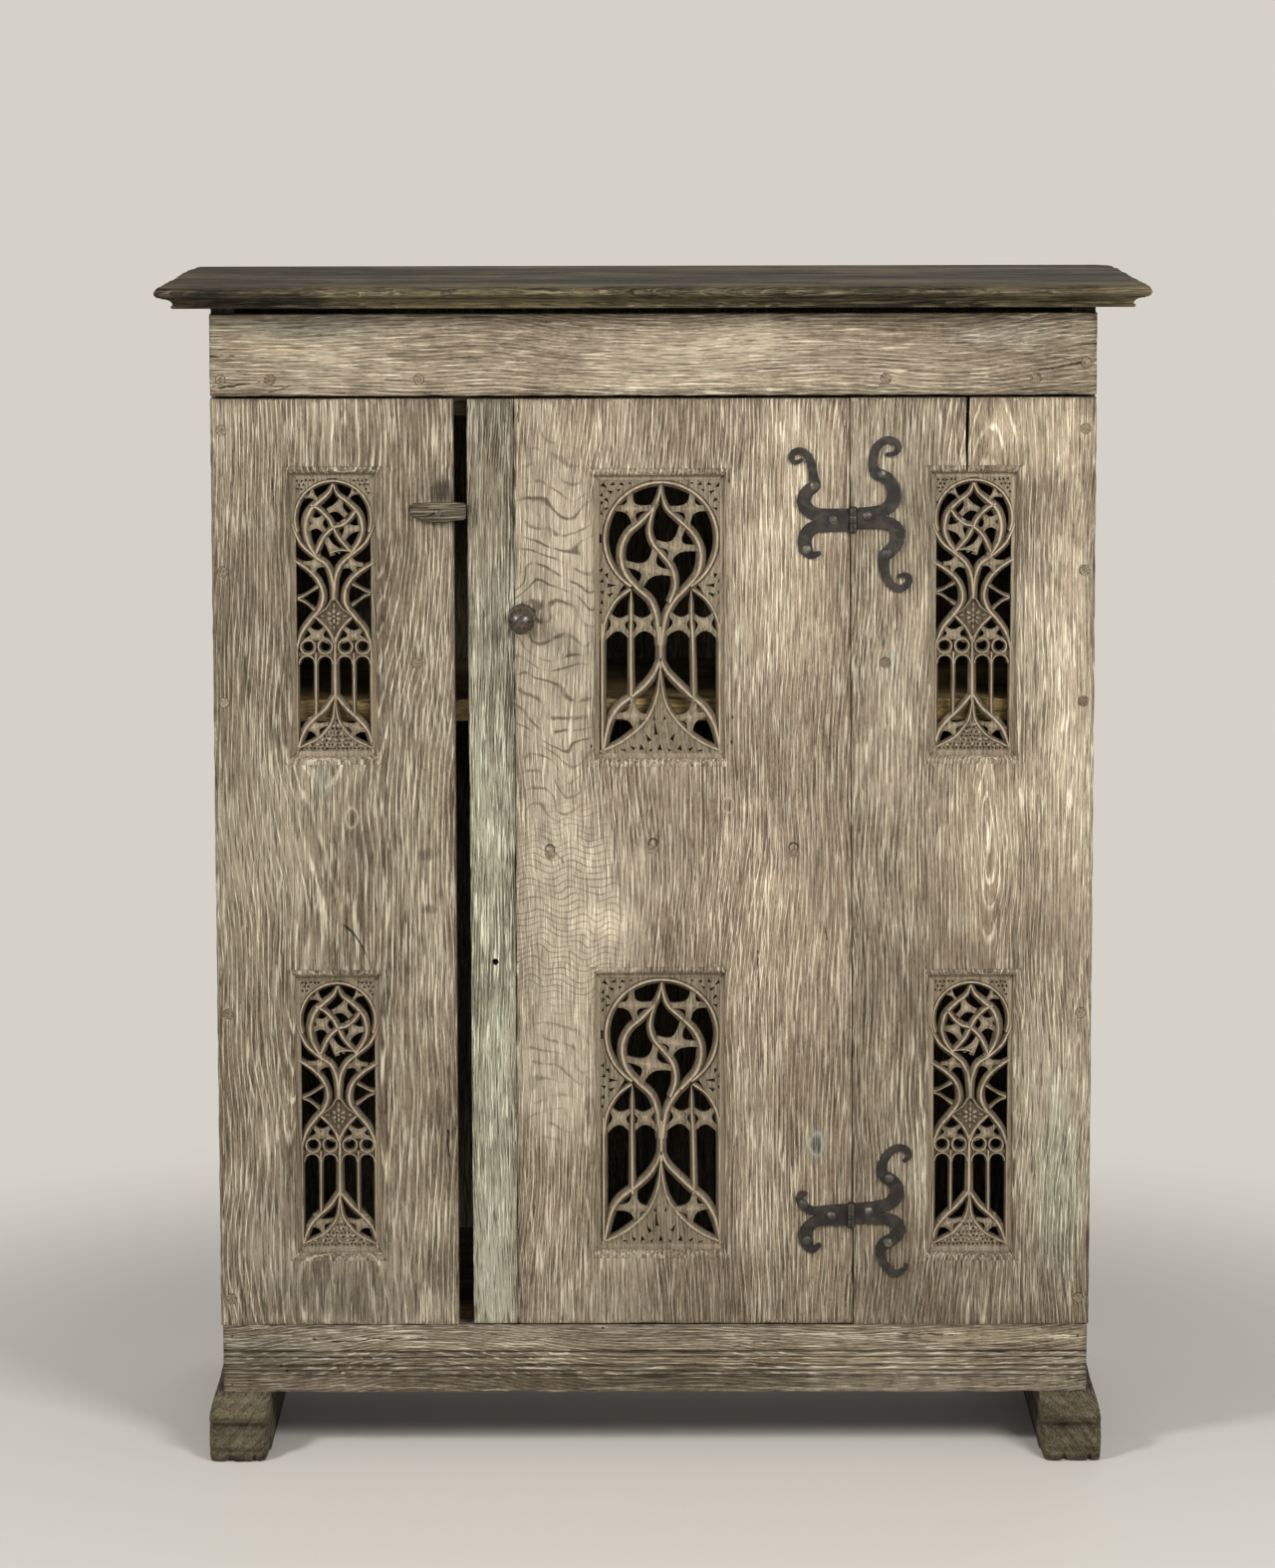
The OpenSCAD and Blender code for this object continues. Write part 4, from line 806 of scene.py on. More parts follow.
class Finishes:
    """The shared node groups and the materials made with them."""

    def __init__(self) -> None:
        """Builds each shared group once."""
        self.figure = oak_figure()
        self.waves = ray_waves()
        self.scores = scored_line()
        self.edges = edge_band()
        # Ovals for discoloured patches and knots, and for broad washes of painted light and painted shade.
        self.stains_and_painted_light = stain_spot()
        self.gaps = round_gap()
        self.cracks = drying_crack()
        self.worms = worm_holes()
        self.count = 0

    @staticmethod
    def blank(name: str, shown: Colour) -> tuple[bpy.types.Material, Wiring, bpy.types.Node]:
        """Starts a material with a plain Principled shader.

        Args:
            name: Name of the material.
            shown: Colour that the editor shows for it.

        Returns:
            The material, its wiring and the shader.
        """
        made = bpy.data.materials.new(name)
        made.use_nodes = True
        made.diffuse_color = shown
        return made, Wiring(made.node_tree), made.node_tree.nodes["Principled BSDF"]

    def next_shift(self) -> Vec3:
        """Gives every piece of wood its own place in the figure."""
        self.count += 1
        return (0.37 * self.count, 0.53 * self.count, 1.19 * self.count)


FRONT = OakFinish(
    "limed_oak", dark=(92, 77, 59), body=(132, 115, 93), light=(168, 151, 127), pore=(52, 41, 30),
    lime=(236, 224, 196), limed=0.9, ringed=0.55, rayed=0.2, patched=0.5,
)
DOOR = OakFinish(
    "door_oak", dark=(96, 79, 60), body=(140, 121, 98), light=(178, 160, 135), pore=(56, 43, 31),
    lime=(240, 227, 199), limed=0.92, ringed=0.55, rayed=0.4, patched=0.45, wander=1.3,
)
WEATHERED = OakFinish(
    "door_oak", dark=(70, 61, 46), body=(124, 113, 91), light=(182, 173, 147), pore=(36, 30, 22),
    lime=(240, 233, 206), limed=0.95, ringed=0.85, rayed=0.1, patched=0.6, relief=0.0034,
)
SIDE = OakFinish(
    "side_oak", dark=(84, 72, 55), body=(120, 105, 84), light=(148, 133, 110), pore=(58, 47, 35),
    lime=(190, 178, 154), limed=0.55, ringed=0.45, rayed=0.2, patched=0.45,
)
# Carved oak: painted shade darkens its recesses from 1.6 down to 7.5 mm below the face, and a painted highlight
# lightens its ridges.
CARVED = OakFinish(
    "carved_oak", dark=(96, 83, 64), body=(128, 115, 94), light=(162, 148, 124), pore=(60, 50, 36),
    lime=(190, 178, 152), limed=0.35, ringed=0.25, rayed=0.1, patched=0.35, wormed=0.035,
    edge_share=0.0, hollow=0.0075, relief=0.0006,
)
DARK = OakFinish(
    "dark_oak", dark=(12, 11, 8), body=(32, 28, 20), light=(92, 80, 56), pore=(8, 7, 5),
    lime=(156, 142, 108), limed=0.55, ringed=0.5, rayed=0.1, patched=0.9, edge_share=0.0, relief=0.003,
)
FOOT = OakFinish(
    "foot_oak", dark=(40, 34, 24), body=(82, 73, 54), light=(136, 123, 96), pore=(24, 20, 14),
    lime=(168, 155, 125), limed=0.6, ringed=0.6, rayed=0.1, patched=0.6, edge_share=0.0, relief=0.003,
)
INNER = OakFinish(
    "inner_oak", dark=(54, 41, 27), body=(76, 60, 40), light=(98, 79, 54), pore=(34, 26, 17),
    lime=(112, 96, 70), limed=0.2, ringed=0.4, rayed=0.2, patched=0.3, edge_share=0.0,
)
# The shelf's oak is a paler, yellower copy of the inner oak: painted light for the lamp light falling on it through the
# pierced panels.
PAINTED_LIT_SHELF = OakFinish(
    "inner_oak", dark=(124, 98, 56), body=(176, 146, 92), light=(208, 178, 120), pore=(82, 62, 34),
    lime=(214, 188, 136), limed=0.3, ringed=0.5, rayed=0.2, patched=0.3, edge_share=0.0,
)
PEG = OakFinish(
    "oak_peg", dark=(104, 88, 68), body=(150, 133, 110), light=(186, 168, 142), pore=(62, 50, 37),
    lime=(206, 192, 164), limed=0.4, ringed=0.5, patched=0.3, edge_share=0.0,
)
BUTTON = OakFinish(
    "dark_oak", dark=(44, 37, 28), body=(72, 62, 47), light=(128, 115, 92), pore=(20, 16, 12),
    lime=(178, 165, 138), limed=0.6, ringed=0.7, rayed=0.0, patched=0.4, edge_share=0.3, edge=(40, 32, 24),
)


# Carving by line


def between(a: Vector, b: Vector, c: Vector, d: Vector, t: float) -> Vector:
    """The point a share t of the way from b to c on the smooth curve through all four."""
    return 0.5 * (2 * b + (c - a) * t + (2 * a - 5 * b + 4 * c - d) * t * t + (3 * b - a - 3 * c + d) * t**3)


def curve(points: Iterable[Sequence[float]], steps: int = 6) -> Line:
    """Runs a smooth curve through points.

    Args:
        points: The points, with any further columns carried along.
        steps: Points from one given point to the next.

    Returns:
        The curve's points.
    """
    p = [Vector(q) for q in points]
    last = len(p) - 1
    made = []
    for i in range(last):
        for k in range(steps):
            made.append(between(p[max(i - 1, 0)], p[i], p[i + 1], p[min(i + 2, last)], k / steps))
    made.append(p[last])
    return made


def arc(centre: Vec2, radius: Vec2, start: float, end: float, steps: int) -> Line:
    """Points on an oval arc; the angles are in degrees."""
    angles = [math.radians(start + (end - start) * i / steps) for i in range(steps + 1)]
    return [Vector((centre[0] + radius[0] * math.cos(a), centre[1] + radius[1] * math.sin(a))) for a in angles]


def heading(angle: float) -> Vector:
    """The direction of an angle in radians."""
    return Vector((math.cos(angle), math.sin(angle)))


def crosswise(run: Vector) -> Vector:
    """A direction turned a quarter to the left."""
    return Vector((-run.y, run.x))


def extruded(
    stroke: bmesh.types.BMesh, faces: list[bmesh.types.BMFace]
) -> tuple[list[bmesh.types.BMFace], list[bmesh.types.BMVert]]:
    """Extrudes faces of a stroke where they lie.

    Args:
        stroke: The mesh.
        faces: Its faces to extrude.

    Returns:
        The new faces and the new points.
    """
    made = bmesh.ops.extrude_face_region(stroke, geom=faces)["geom"]
    fresh = [g for g in made if isinstance(g, bmesh.types.BMVert)]
    return [g for g in made if isinstance(g, bmesh.types.BMFace)], fresh


BAR_SECTION: tuple[Vec2, ...] = (
    (-1.0, 0.02), (-1.0, 0.46), (-0.9, 0.5), (-0.66, 0.57), (-0.44, 0.69), (-0.27, 0.85), (-0.16, 1.0),
    (0.16, 1.0), (0.27, 0.85), (0.44, 0.69), (0.66, 0.57), (0.9, 0.5), (1.0, 0.46), (1.0, 0.02),
)


class Carving:
    """A carved panel drawn in millimetres: X across, Z up and height towards the viewer.

    Each stroke of the carver is a closed solid of its own, made from one section or outline. The
    shares of a star are shares of the height of a full bar.
    """

    SWELL: ClassVar[float] = 1.16
    OVERLAP: ClassVar[float] = 0.4
    BACK: ClassVar[float] = 0.3
    STAR_FLARE: ClassVar[float] = 1.25
    STAR_REACH: ClassVar[float] = 2.6
    STAR_STEPS: ClassVar[int] = 7
    STAR_RIM: ClassVar[float] = 0.68
    STAR_SWELL: ClassVar[float] = 0.08
    STAR_PEAK: ClassVar[float] = 0.92
    NEARLY_STRAIGHT: ClassVar[float] = 0.05

    def __init__(self, place: Matrix, top: float) -> None:
        """Starts an empty carving.

        Args:
            place: Turns (x, z, height) in millimetres into the frame's metres.
            top: Height of a full bar over the panel's back.
        """
        self.mesh = bmesh.new()
        self.place = place
        self.top = top

    def take(self, stroke: bmesh.types.BMesh) -> None:
        """Adds a finished stroke to the carving."""
        bmesh.ops.recalc_face_normals(stroke, faces=stroke.faces[:])
        held = bpy.data.meshes.new("stroke")
        stroke.to_mesh(held)
        stroke.free()
        self.mesh.from_mesh(held)
        bpy.data.meshes.remove(held)

    @staticmethod
    def raised(stroke: bmesh.types.BMesh, height: float) -> list[bmesh.types.BMVert]:
        """Turns a flat stroke into a solid of some height and gives the points of its face."""
        fresh = extruded(stroke, stroke.faces[:])[1]
        bmesh.ops.translate(stroke, vec=(0, 0, height), verts=fresh)
        return fresh

    def rib(self, line: Line, halves: Sequence[float], top: float = 1.0) -> None:
        """Carves a bar along a line.

        Args:
            line: Middle of the bar.
            halves: Half widths, spread evenly along the bar, or one for all of it.
            top: Height as a share of a full bar.
        """
        count = len(line)
        frames = []
        for i, point in enumerate(line):
            run = line[min(i + 1, count - 1)].xy - line[max(i - 1, 0)].xy
            run.normalize()
            reach = i / (count - 1) * (len(halves) - 1)
            low = min(int(reach), max(len(halves) - 2, 0))
            high = min(low + 1, len(halves) - 1)
            half = (halves[low] + (halves[high] - halves[low]) * (reach - low)) * self.SWELL
            frames.append(Matrix((
                (-run.y * half, 0.0, run.x, point.x),
                (run.x * half, 0.0, run.y, point.y),
                (0.0, self.top * top, 0.0, 0.0),
                (0.0, 0.0, 0.0, 1.0),
            )))
        stroke = bmesh.new()
        first = [stroke.verts.new((u, h, 0.0)) for u, h in BAR_SECTION]
        stroke.faces.new(first)
        bmesh.ops.transform(stroke, matrix=frames[0], verts=first)
        ring = stroke.faces[:]
        for before, after in zip(frames, frames[1:]):
            ring, fresh = extruded(stroke, ring)
            bmesh.ops.transform(stroke, matrix=after @ before.inverted(), verts=fresh)
        self.take(stroke)

    def plate(self, outline: Line, low: float, high: float, bevel: float = 0.0) -> None:
        """Adds a flat piece with a given outline.

        Args:
            outline: Its corners in order.
            low: Height of its back.
            high: Height of its face.
            bevel: How far its face's edge is chamfered.
        """
        stroke = bmesh.new()
        stroke.faces.new([stroke.verts.new((p.x, p.y, low)) for p in outline])
        fresh = self.raised(stroke, high - low)
        if bevel:
            rim = [e for e in stroke.edges if all(v in fresh for v in e.verts)]
            bmesh.ops.bevel(stroke, geom=rim, offset=bevel, segments=1, profile=0.5, affect="EDGES", material=-1)
        self.take(stroke)

    def chipped(self, outline: Line, chips: Sequence[Line], ground: float, high: float) -> None:
        """Adds a flat piece with chips cut out of its face down to a lower ground.

        Args:
            outline: Its corners in order.
            chips: Outline of each chip.
            ground: Height of the chips' floor.
            high: Height of its face.
        """
        self.plate(outline, self.BACK, ground)
        stroke = bmesh.new()
        for loop in (outline, *chips):
            corners = [stroke.verts.new((p.x, p.y, ground - self.OVERLAP)) for p in loop]
            for a, b in zip(corners, corners[1:] + corners[:1]):
                stroke.edges.new((a, b))
        bmesh.ops.triangle_fill(stroke, use_beauty=True, use_dissolve=False, edges=stroke.edges[:])
        self.raised(stroke, high - ground + self.OVERLAP)
        self.take(stroke)

    def star(self, centre: Vector, tips: Sequence[Vector], flare: float, core: float) -> None:
        """Carves a knot whose arms run out into the bars, with a round hollow between each two.

        Args:
            centre: The knot.
            tips: Where the arms end.
            flare: Half width of an arm's end.
            core: How far each round hollow stays from the knot.
        """
        flare *= self.STAR_FLARE
        tips = [tip + (tip - centre).normalized() * self.STAR_REACH for tip in tips]
        order = sorted(tips, key=lambda tip: math.atan2(tip.y - centre.y, tip.x - centre.x))
        outline = []
        heights = []
        for tip, after in zip(order, order[1:] + order[:1]):
            a, b = (tip - centre).normalized(), (after - centre).normalized()
            start, end = tip + crosswise(a) * flare, after - crosswise(b) * flare
            middle = a + b
            away = middle.normalized() if middle.length > self.NEARLY_STRAIGHT else crosswise(a)
            hub = centre + away * core
            outline.append(tip - crosswise(a) * flare)
            heights.append(self.STAR_RIM)
            for i in range(self.STAR_STEPS):
                t = i / self.STAR_STEPS
                near, far = ((1 - t) ** 2 + (1 - t) ** 3) / 2, (t**2 + t**3) / 2
                outline.append(start * near + hub * (1 - near - far) + end * far)
                heights.append(self.STAR_RIM + self.STAR_SWELL * math.sin(math.pi * t))
        stroke = bmesh.new()
        stroke.faces.new([stroke.verts.new((p.x, p.y, self.BACK)) for p in outline])
        faces = extruded(stroke, stroke.faces[:])[0]
        for corner in faces[0].verts:
            nearest = min(range(len(outline)), key=lambda i: (outline[i] - corner.co.xy).length)
            corner.co.z += self.top * heights[nearest] - self.BACK
        peak = bmesh.ops.poke(stroke, faces=faces)["verts"][0]
        peak.co = (centre.x, centre.y, self.top * self.STAR_PEAK)
        self.take(stroke)

    def dome(self, centre: Vec2, radii: Vec2, turn: float, low: float, high: float, segments: int) -> None:
        """Adds a rounded boss, such as a berry or a petal.

        Args:
            centre: Its middle.
            radii: Half its length and half its width.
            turn: Direction of its length, in degrees.
            low: Height where it starts.
            high: Height of its top.
            segments: Points round it.
        """
        stroke = bmesh.new()
        bmesh.ops.create_uvsphere(stroke, u_segments=segments, v_segments=8, radius=1.0)
        place = (
            Matrix.Translation((centre[0], centre[1], low))
            @ Matrix.Rotation(math.radians(turn), 4, "Z")
            @ Matrix.Diagonal((radii[0], radii[1], high - low, 1.0))
        )
        bmesh.ops.transform(stroke, matrix=place, verts=stroke.verts[:])
        self.take(stroke)

    def finish(self, name: str, body: str, slot: str, material: bpy.types.Material) -> bpy.types.Object:
        """Sets the carving in its place.

        Args:
            name: Name of the piece.
            body: The body that it rides on.
            slot: The record's slot of its finish.
            material: Its finish.

        Returns:
            The piece.
        """
        bmesh.ops.transform(self.mesh, matrix=self.place, verts=self.mesh.verts[:])
        return Piece.from_bmesh(self.mesh, name, body, slot, material)


class Piece:
    """Ways to turn a mesh into a finished piece of the cupboard."""

    SHARP: ClassVar[float] = math.radians(32)
    ROUNDED: ClassVar[float] = math.radians(40)
    PLANE_REACH: ClassVar[float] = 0.000001

    @classmethod
    def from_bmesh(
        cls, mesh: bmesh.types.BMesh, name: str, body: str, slot: str, material: bpy.types.Material
    ) -> bpy.types.Object:
        """Makes an object at the origin from a bmesh in the frame's metres.

        Args:
            mesh: The shape, which is freed.
            name: Name of the piece.
            body: The body that it rides on.
            slot: The record's slot of its finish; not used.
            material: Its finish.

        Returns:
            The piece.
        """
        for face in mesh.faces:
            face.smooth = True
        for edge in mesh.edges:
            edge.smooth = len(edge.link_faces) == 2 and edge.calc_face_angle(0.0) < cls.SHARP
        data = bpy.data.meshes.new(name)
        mesh.to_mesh(data)
        mesh.free()
        data.materials.append(material)
        made = bpy.data.objects.new(name, data)
        bpy.context.scene.collection.objects.link(made)
        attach(made, body)
        return made

    @classmethod
    def dress(cls, node: str, material: bpy.types.Material, round_over: float = 0.0) -> None:
        """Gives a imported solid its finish.

        Args:
            node: Name of the solid.
            material: Its finish.
            round_over: How far its edges are rounded, in millimetres.
        """
        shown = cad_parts[node]
        shown.data.materials.clear()
        shown.data.materials.append(material)
        if round_over:
            shown.modifiers.new("weld", "WELD").merge_threshold = WELD
            cls.round_edges(shown, round_over)

    @classmethod
    def round_edges(cls, shown: bpy.types.Object, width: float) -> None:
        """Rounds the sharp edges of a piece by a width in millimetres."""
        bevel = shown.modifiers.new("worn_edges", "BEVEL")
        bevel.width = width * MM
        bevel.segments = 2
        bevel.limit_method = "ANGLE"
        bevel.angle_limit = cls.ROUNDED

    @classmethod
    def worn(
        cls, node: str, body: str, slot: str, material: bpy.types.Material, wear: "EdgeWear | TopWear | ToeWear"
    ) -> bpy.types.Object:
        """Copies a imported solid, cuts it finely and wears it, and hangs it in the solid's place.

        Args:
            node: Name of the solid.
            body: The body that it rides on.
            slot: The record's slot of its finish.
            material: Its finish.
            wear: Says where it is cut, and gives the worn place of each point.

        Returns:
            The piece.
        """
        mesh = bmesh.new()
        mesh.from_mesh(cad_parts[node].data)
        bmesh.ops.remove_doubles(mesh, verts=mesh.verts[:], dist=WELD)
        for axis, place in wear.cuts():
            side = Vector([float(i == axis) for i in range(3)])
            bmesh.ops.bisect_plane(
                mesh, geom=mesh.verts[:] + mesh.edges[:] + mesh.faces[:], dist=cls.PLANE_REACH,
                plane_co=side * place, plane_no=side,
            )
        for vert in mesh.verts:
            vert.co = wear(vert.co.copy())
        made = cls.from_bmesh(mesh, node + "_worn", body, slot, material)
        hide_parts(node)
        log.info("%s: %d faces", made.name, len(made.data.polygons))
        return made


# Tracery: the pierced panels


@dataclass(frozen=True)
class Star:
    """A cusp of the tracery: a knot and the ends of its arms."""

    centre: Vec2
    tips: tuple[Vec2, ...]
    flare: float
    core: float = 2.4


@dataclass(frozen=True)
class Bar:
    """A bar of the tracery: the points that it runs through and its half widths."""

    points: tuple[Vec2, ...]
    halves: tuple[float, ...]
    top: float = 1.0


@dataclass
class TraceryPanel:
    """One pierced panel; its pattern is drawn in millimetres from the middle of its sill."""

    name: str
    body: str
    x: float
    sill: float
    wide: float
    high: float
    flip: int
    face_y: float
    thick: float
    seed: int

    REBATE: ClassVar[float] = 7.9
    RIM: ClassVar[float] = 6
    RIM_SUNK: ClassVar[float] = 1.9
    RIM_BEVEL: ClassVar[float] = 0.9
    BARS_SUNK: ClassVar[float] = 0.5
    CHIP: ClassVar[tuple[Vec2, ...]] = ((0, 0.5), (0.5, 0.26), (1, 0), (0.5, -0.26), (0, -0.5), (0.1, 0))
    CURL: ClassVar[tuple[float, ...]] = (0.55, 0.3, 0.5, 0.22, 0.45, 0.26)
    ROUND: ClassVar[tuple[float, ...]] = (0, 0.8, 1.6, 2.4, 3.1, 3.9, 4.7, 5.5)
    gable_left: ClassVar[tuple[Vec2, ...]] = ()
    gable_right: ClassVar[tuple[Vec2, ...]] = ()
    bars: ClassVar[tuple[Bar, ...]] = ()
    stars: ClassVar[tuple[Star, ...]] = ()

    def put(self, points: Iterable[Sequence[float]]) -> Line:
        """Turns drawn points round for a panel that is a mirror image."""
        return [Vector((p[0] * self.flip, p[1])) for p in points]

    def carving(self) -> Carving:
        """Starts a carving at the panel's place."""
        back = self.face_y + self.thick
        place = Matrix((
            (MM, 0, 0, self.x * MM),
            (0, 0, -MM, back * MM),
            (0, MM, 0, self.sill * MM),
            (0, 0, 0, 1),
        ))
        return Carving(place, self.thick - self.BARS_SUNK)

    def frame_bars(self, work: Carving) -> None:
        """Lays the flat rim round the opening, with a small bevel towards the carving."""
        outer, inner = self.wide / 2 + self.REBATE, self.wide / 2 - self.RIM
        low, high = -self.REBATE, self.high + self.REBATE
        sill, lintel = self.RIM, self.high - self.RIM
        outlines = [((s * outer, low), (s * outer, high), (s * inner, lintel), (s * inner, sill)) for s in (-1, 1)]
        outlines += [((-outer, z), (outer, z), (inner, edge), (-inner, edge)) for z, edge in ((low, sill),
            (high, lintel))]
        for corners in outlines:
            work.plate([Vector(c) for c in corners], 0.0, self.thick - self.RIM_SUNK, self.RIM_BEVEL)

    def chips(self, places: Iterable[Sequence[float]], side: int = 1, middle: float = 0.0) -> list[Line]:
        """Outlines of three-cornered chips; one that would touch an earlier one is left out.

        Args:
            places: X, z, length, width and direction in degrees of each chip.
            side: -1 for the right half of the panel.
            middle: X of the line that the halves are mirrored at.

        Returns:
            The outlines.
        """
        made = []
        kept: list[tuple[Vector, float]] = []
        for x, z, length, wide, turn in places:
            run = heading(math.radians(turn))
            spot = Vector((x, z))
            if any((spot - other).length < (length + reach) * 0.4 for other, reach in kept):
                continue
            kept.append((spot, length))
            root = spot - run * length * 0.4
            corners = [root + run * length * along + crosswise(run) * wide * over for along, over in self.CHIP]
            made.append([Vector((((p.x - middle) * side + middle) * self.flip, p.y)) for p in corners])
        return made

    def scattered(self, outline: Line, pitch: float, size: float) -> list[Line]:
        """Small curling chips scattered over an outline, clear of its edge.

        Args:
            outline: The region.
            pitch: Distance between chips.
            size: Length of a chip.

        Returns:
            The chips' outlines.
        """
        rng = random.Random(self.seed)
        low = Vector((min(p.x for p in outline), min(p.y for p in outline)))
        high = Vector((max(p.x for p in outline), max(p.y for p in outline)))
        room = size * 0.62 + 0.5
        made = []
        for j in range(int((high.y - low.y) / pitch) + 1):
            for i in range(int((high.x - low.x) / pitch) + 1):
                x = (i + 0.5 * (j % 2)) * pitch + rng.uniform(-0.5, 0.5)
                spot = low + Vector((x, j * pitch + rng.uniform(-0.5, 0.5)))
                if all(self.holds(outline, spot + heading(a) * room) for a in self.ROUND):
                    turn = rng.uniform(0, math.tau)
                    made.append([
                        spot + heading(turn + k * math.tau / 6) * (size * share) for k, share in enumerate(self.CURL)
                    ])
        return made

    @staticmethod
    def holds(outline: Line, spot: Vector) -> bool:
        """Whether a spot lies inside an outline."""
        inside = False
        for a, b in zip(outline, outline[1:] + outline[:1]):
            if (a.y > spot.y) != (b.y > spot.y) and spot.x < a.x + (spot.y - a.y) / (b.y - a.y) * (b.x - a.x):
                inside = not inside
        return inside

    def under_gable(self, right: float, left: float) -> Line:
        """Outline of the ground under the lower gable; right and left are its ends at the sill."""
        sides = [curve(self.put(side), 4) for side in (self.gable_left, self.gable_right)]
        return sides[0][::-1] + sides[1][1:] + self.put(((right, 4), (left, 4)))

    def build(self, material: bpy.types.Material) -> bpy.types.Object:
        """Carves the panel and hangs it in place of its solid."""
        work = self.carving()
        self.frame_bars(work)
        for bar in self.bars:
            work.rib(curve(self.put(bar.points)), bar.halves, bar.top)
        for star in self.stars:
            work.star(self.put([star.centre])[0], self.put(star.tips), star.flare, star.core)
        self.carve(work)
        made = work.finish(self.name + "_carving", self.body, "carved_oak", material)
        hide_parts(self.name)
        return made

    def carve(self, work: Carving) -> None:
        """Carves the rings and the ornament; each kind of panel has its own."""
        raise NotImplementedError


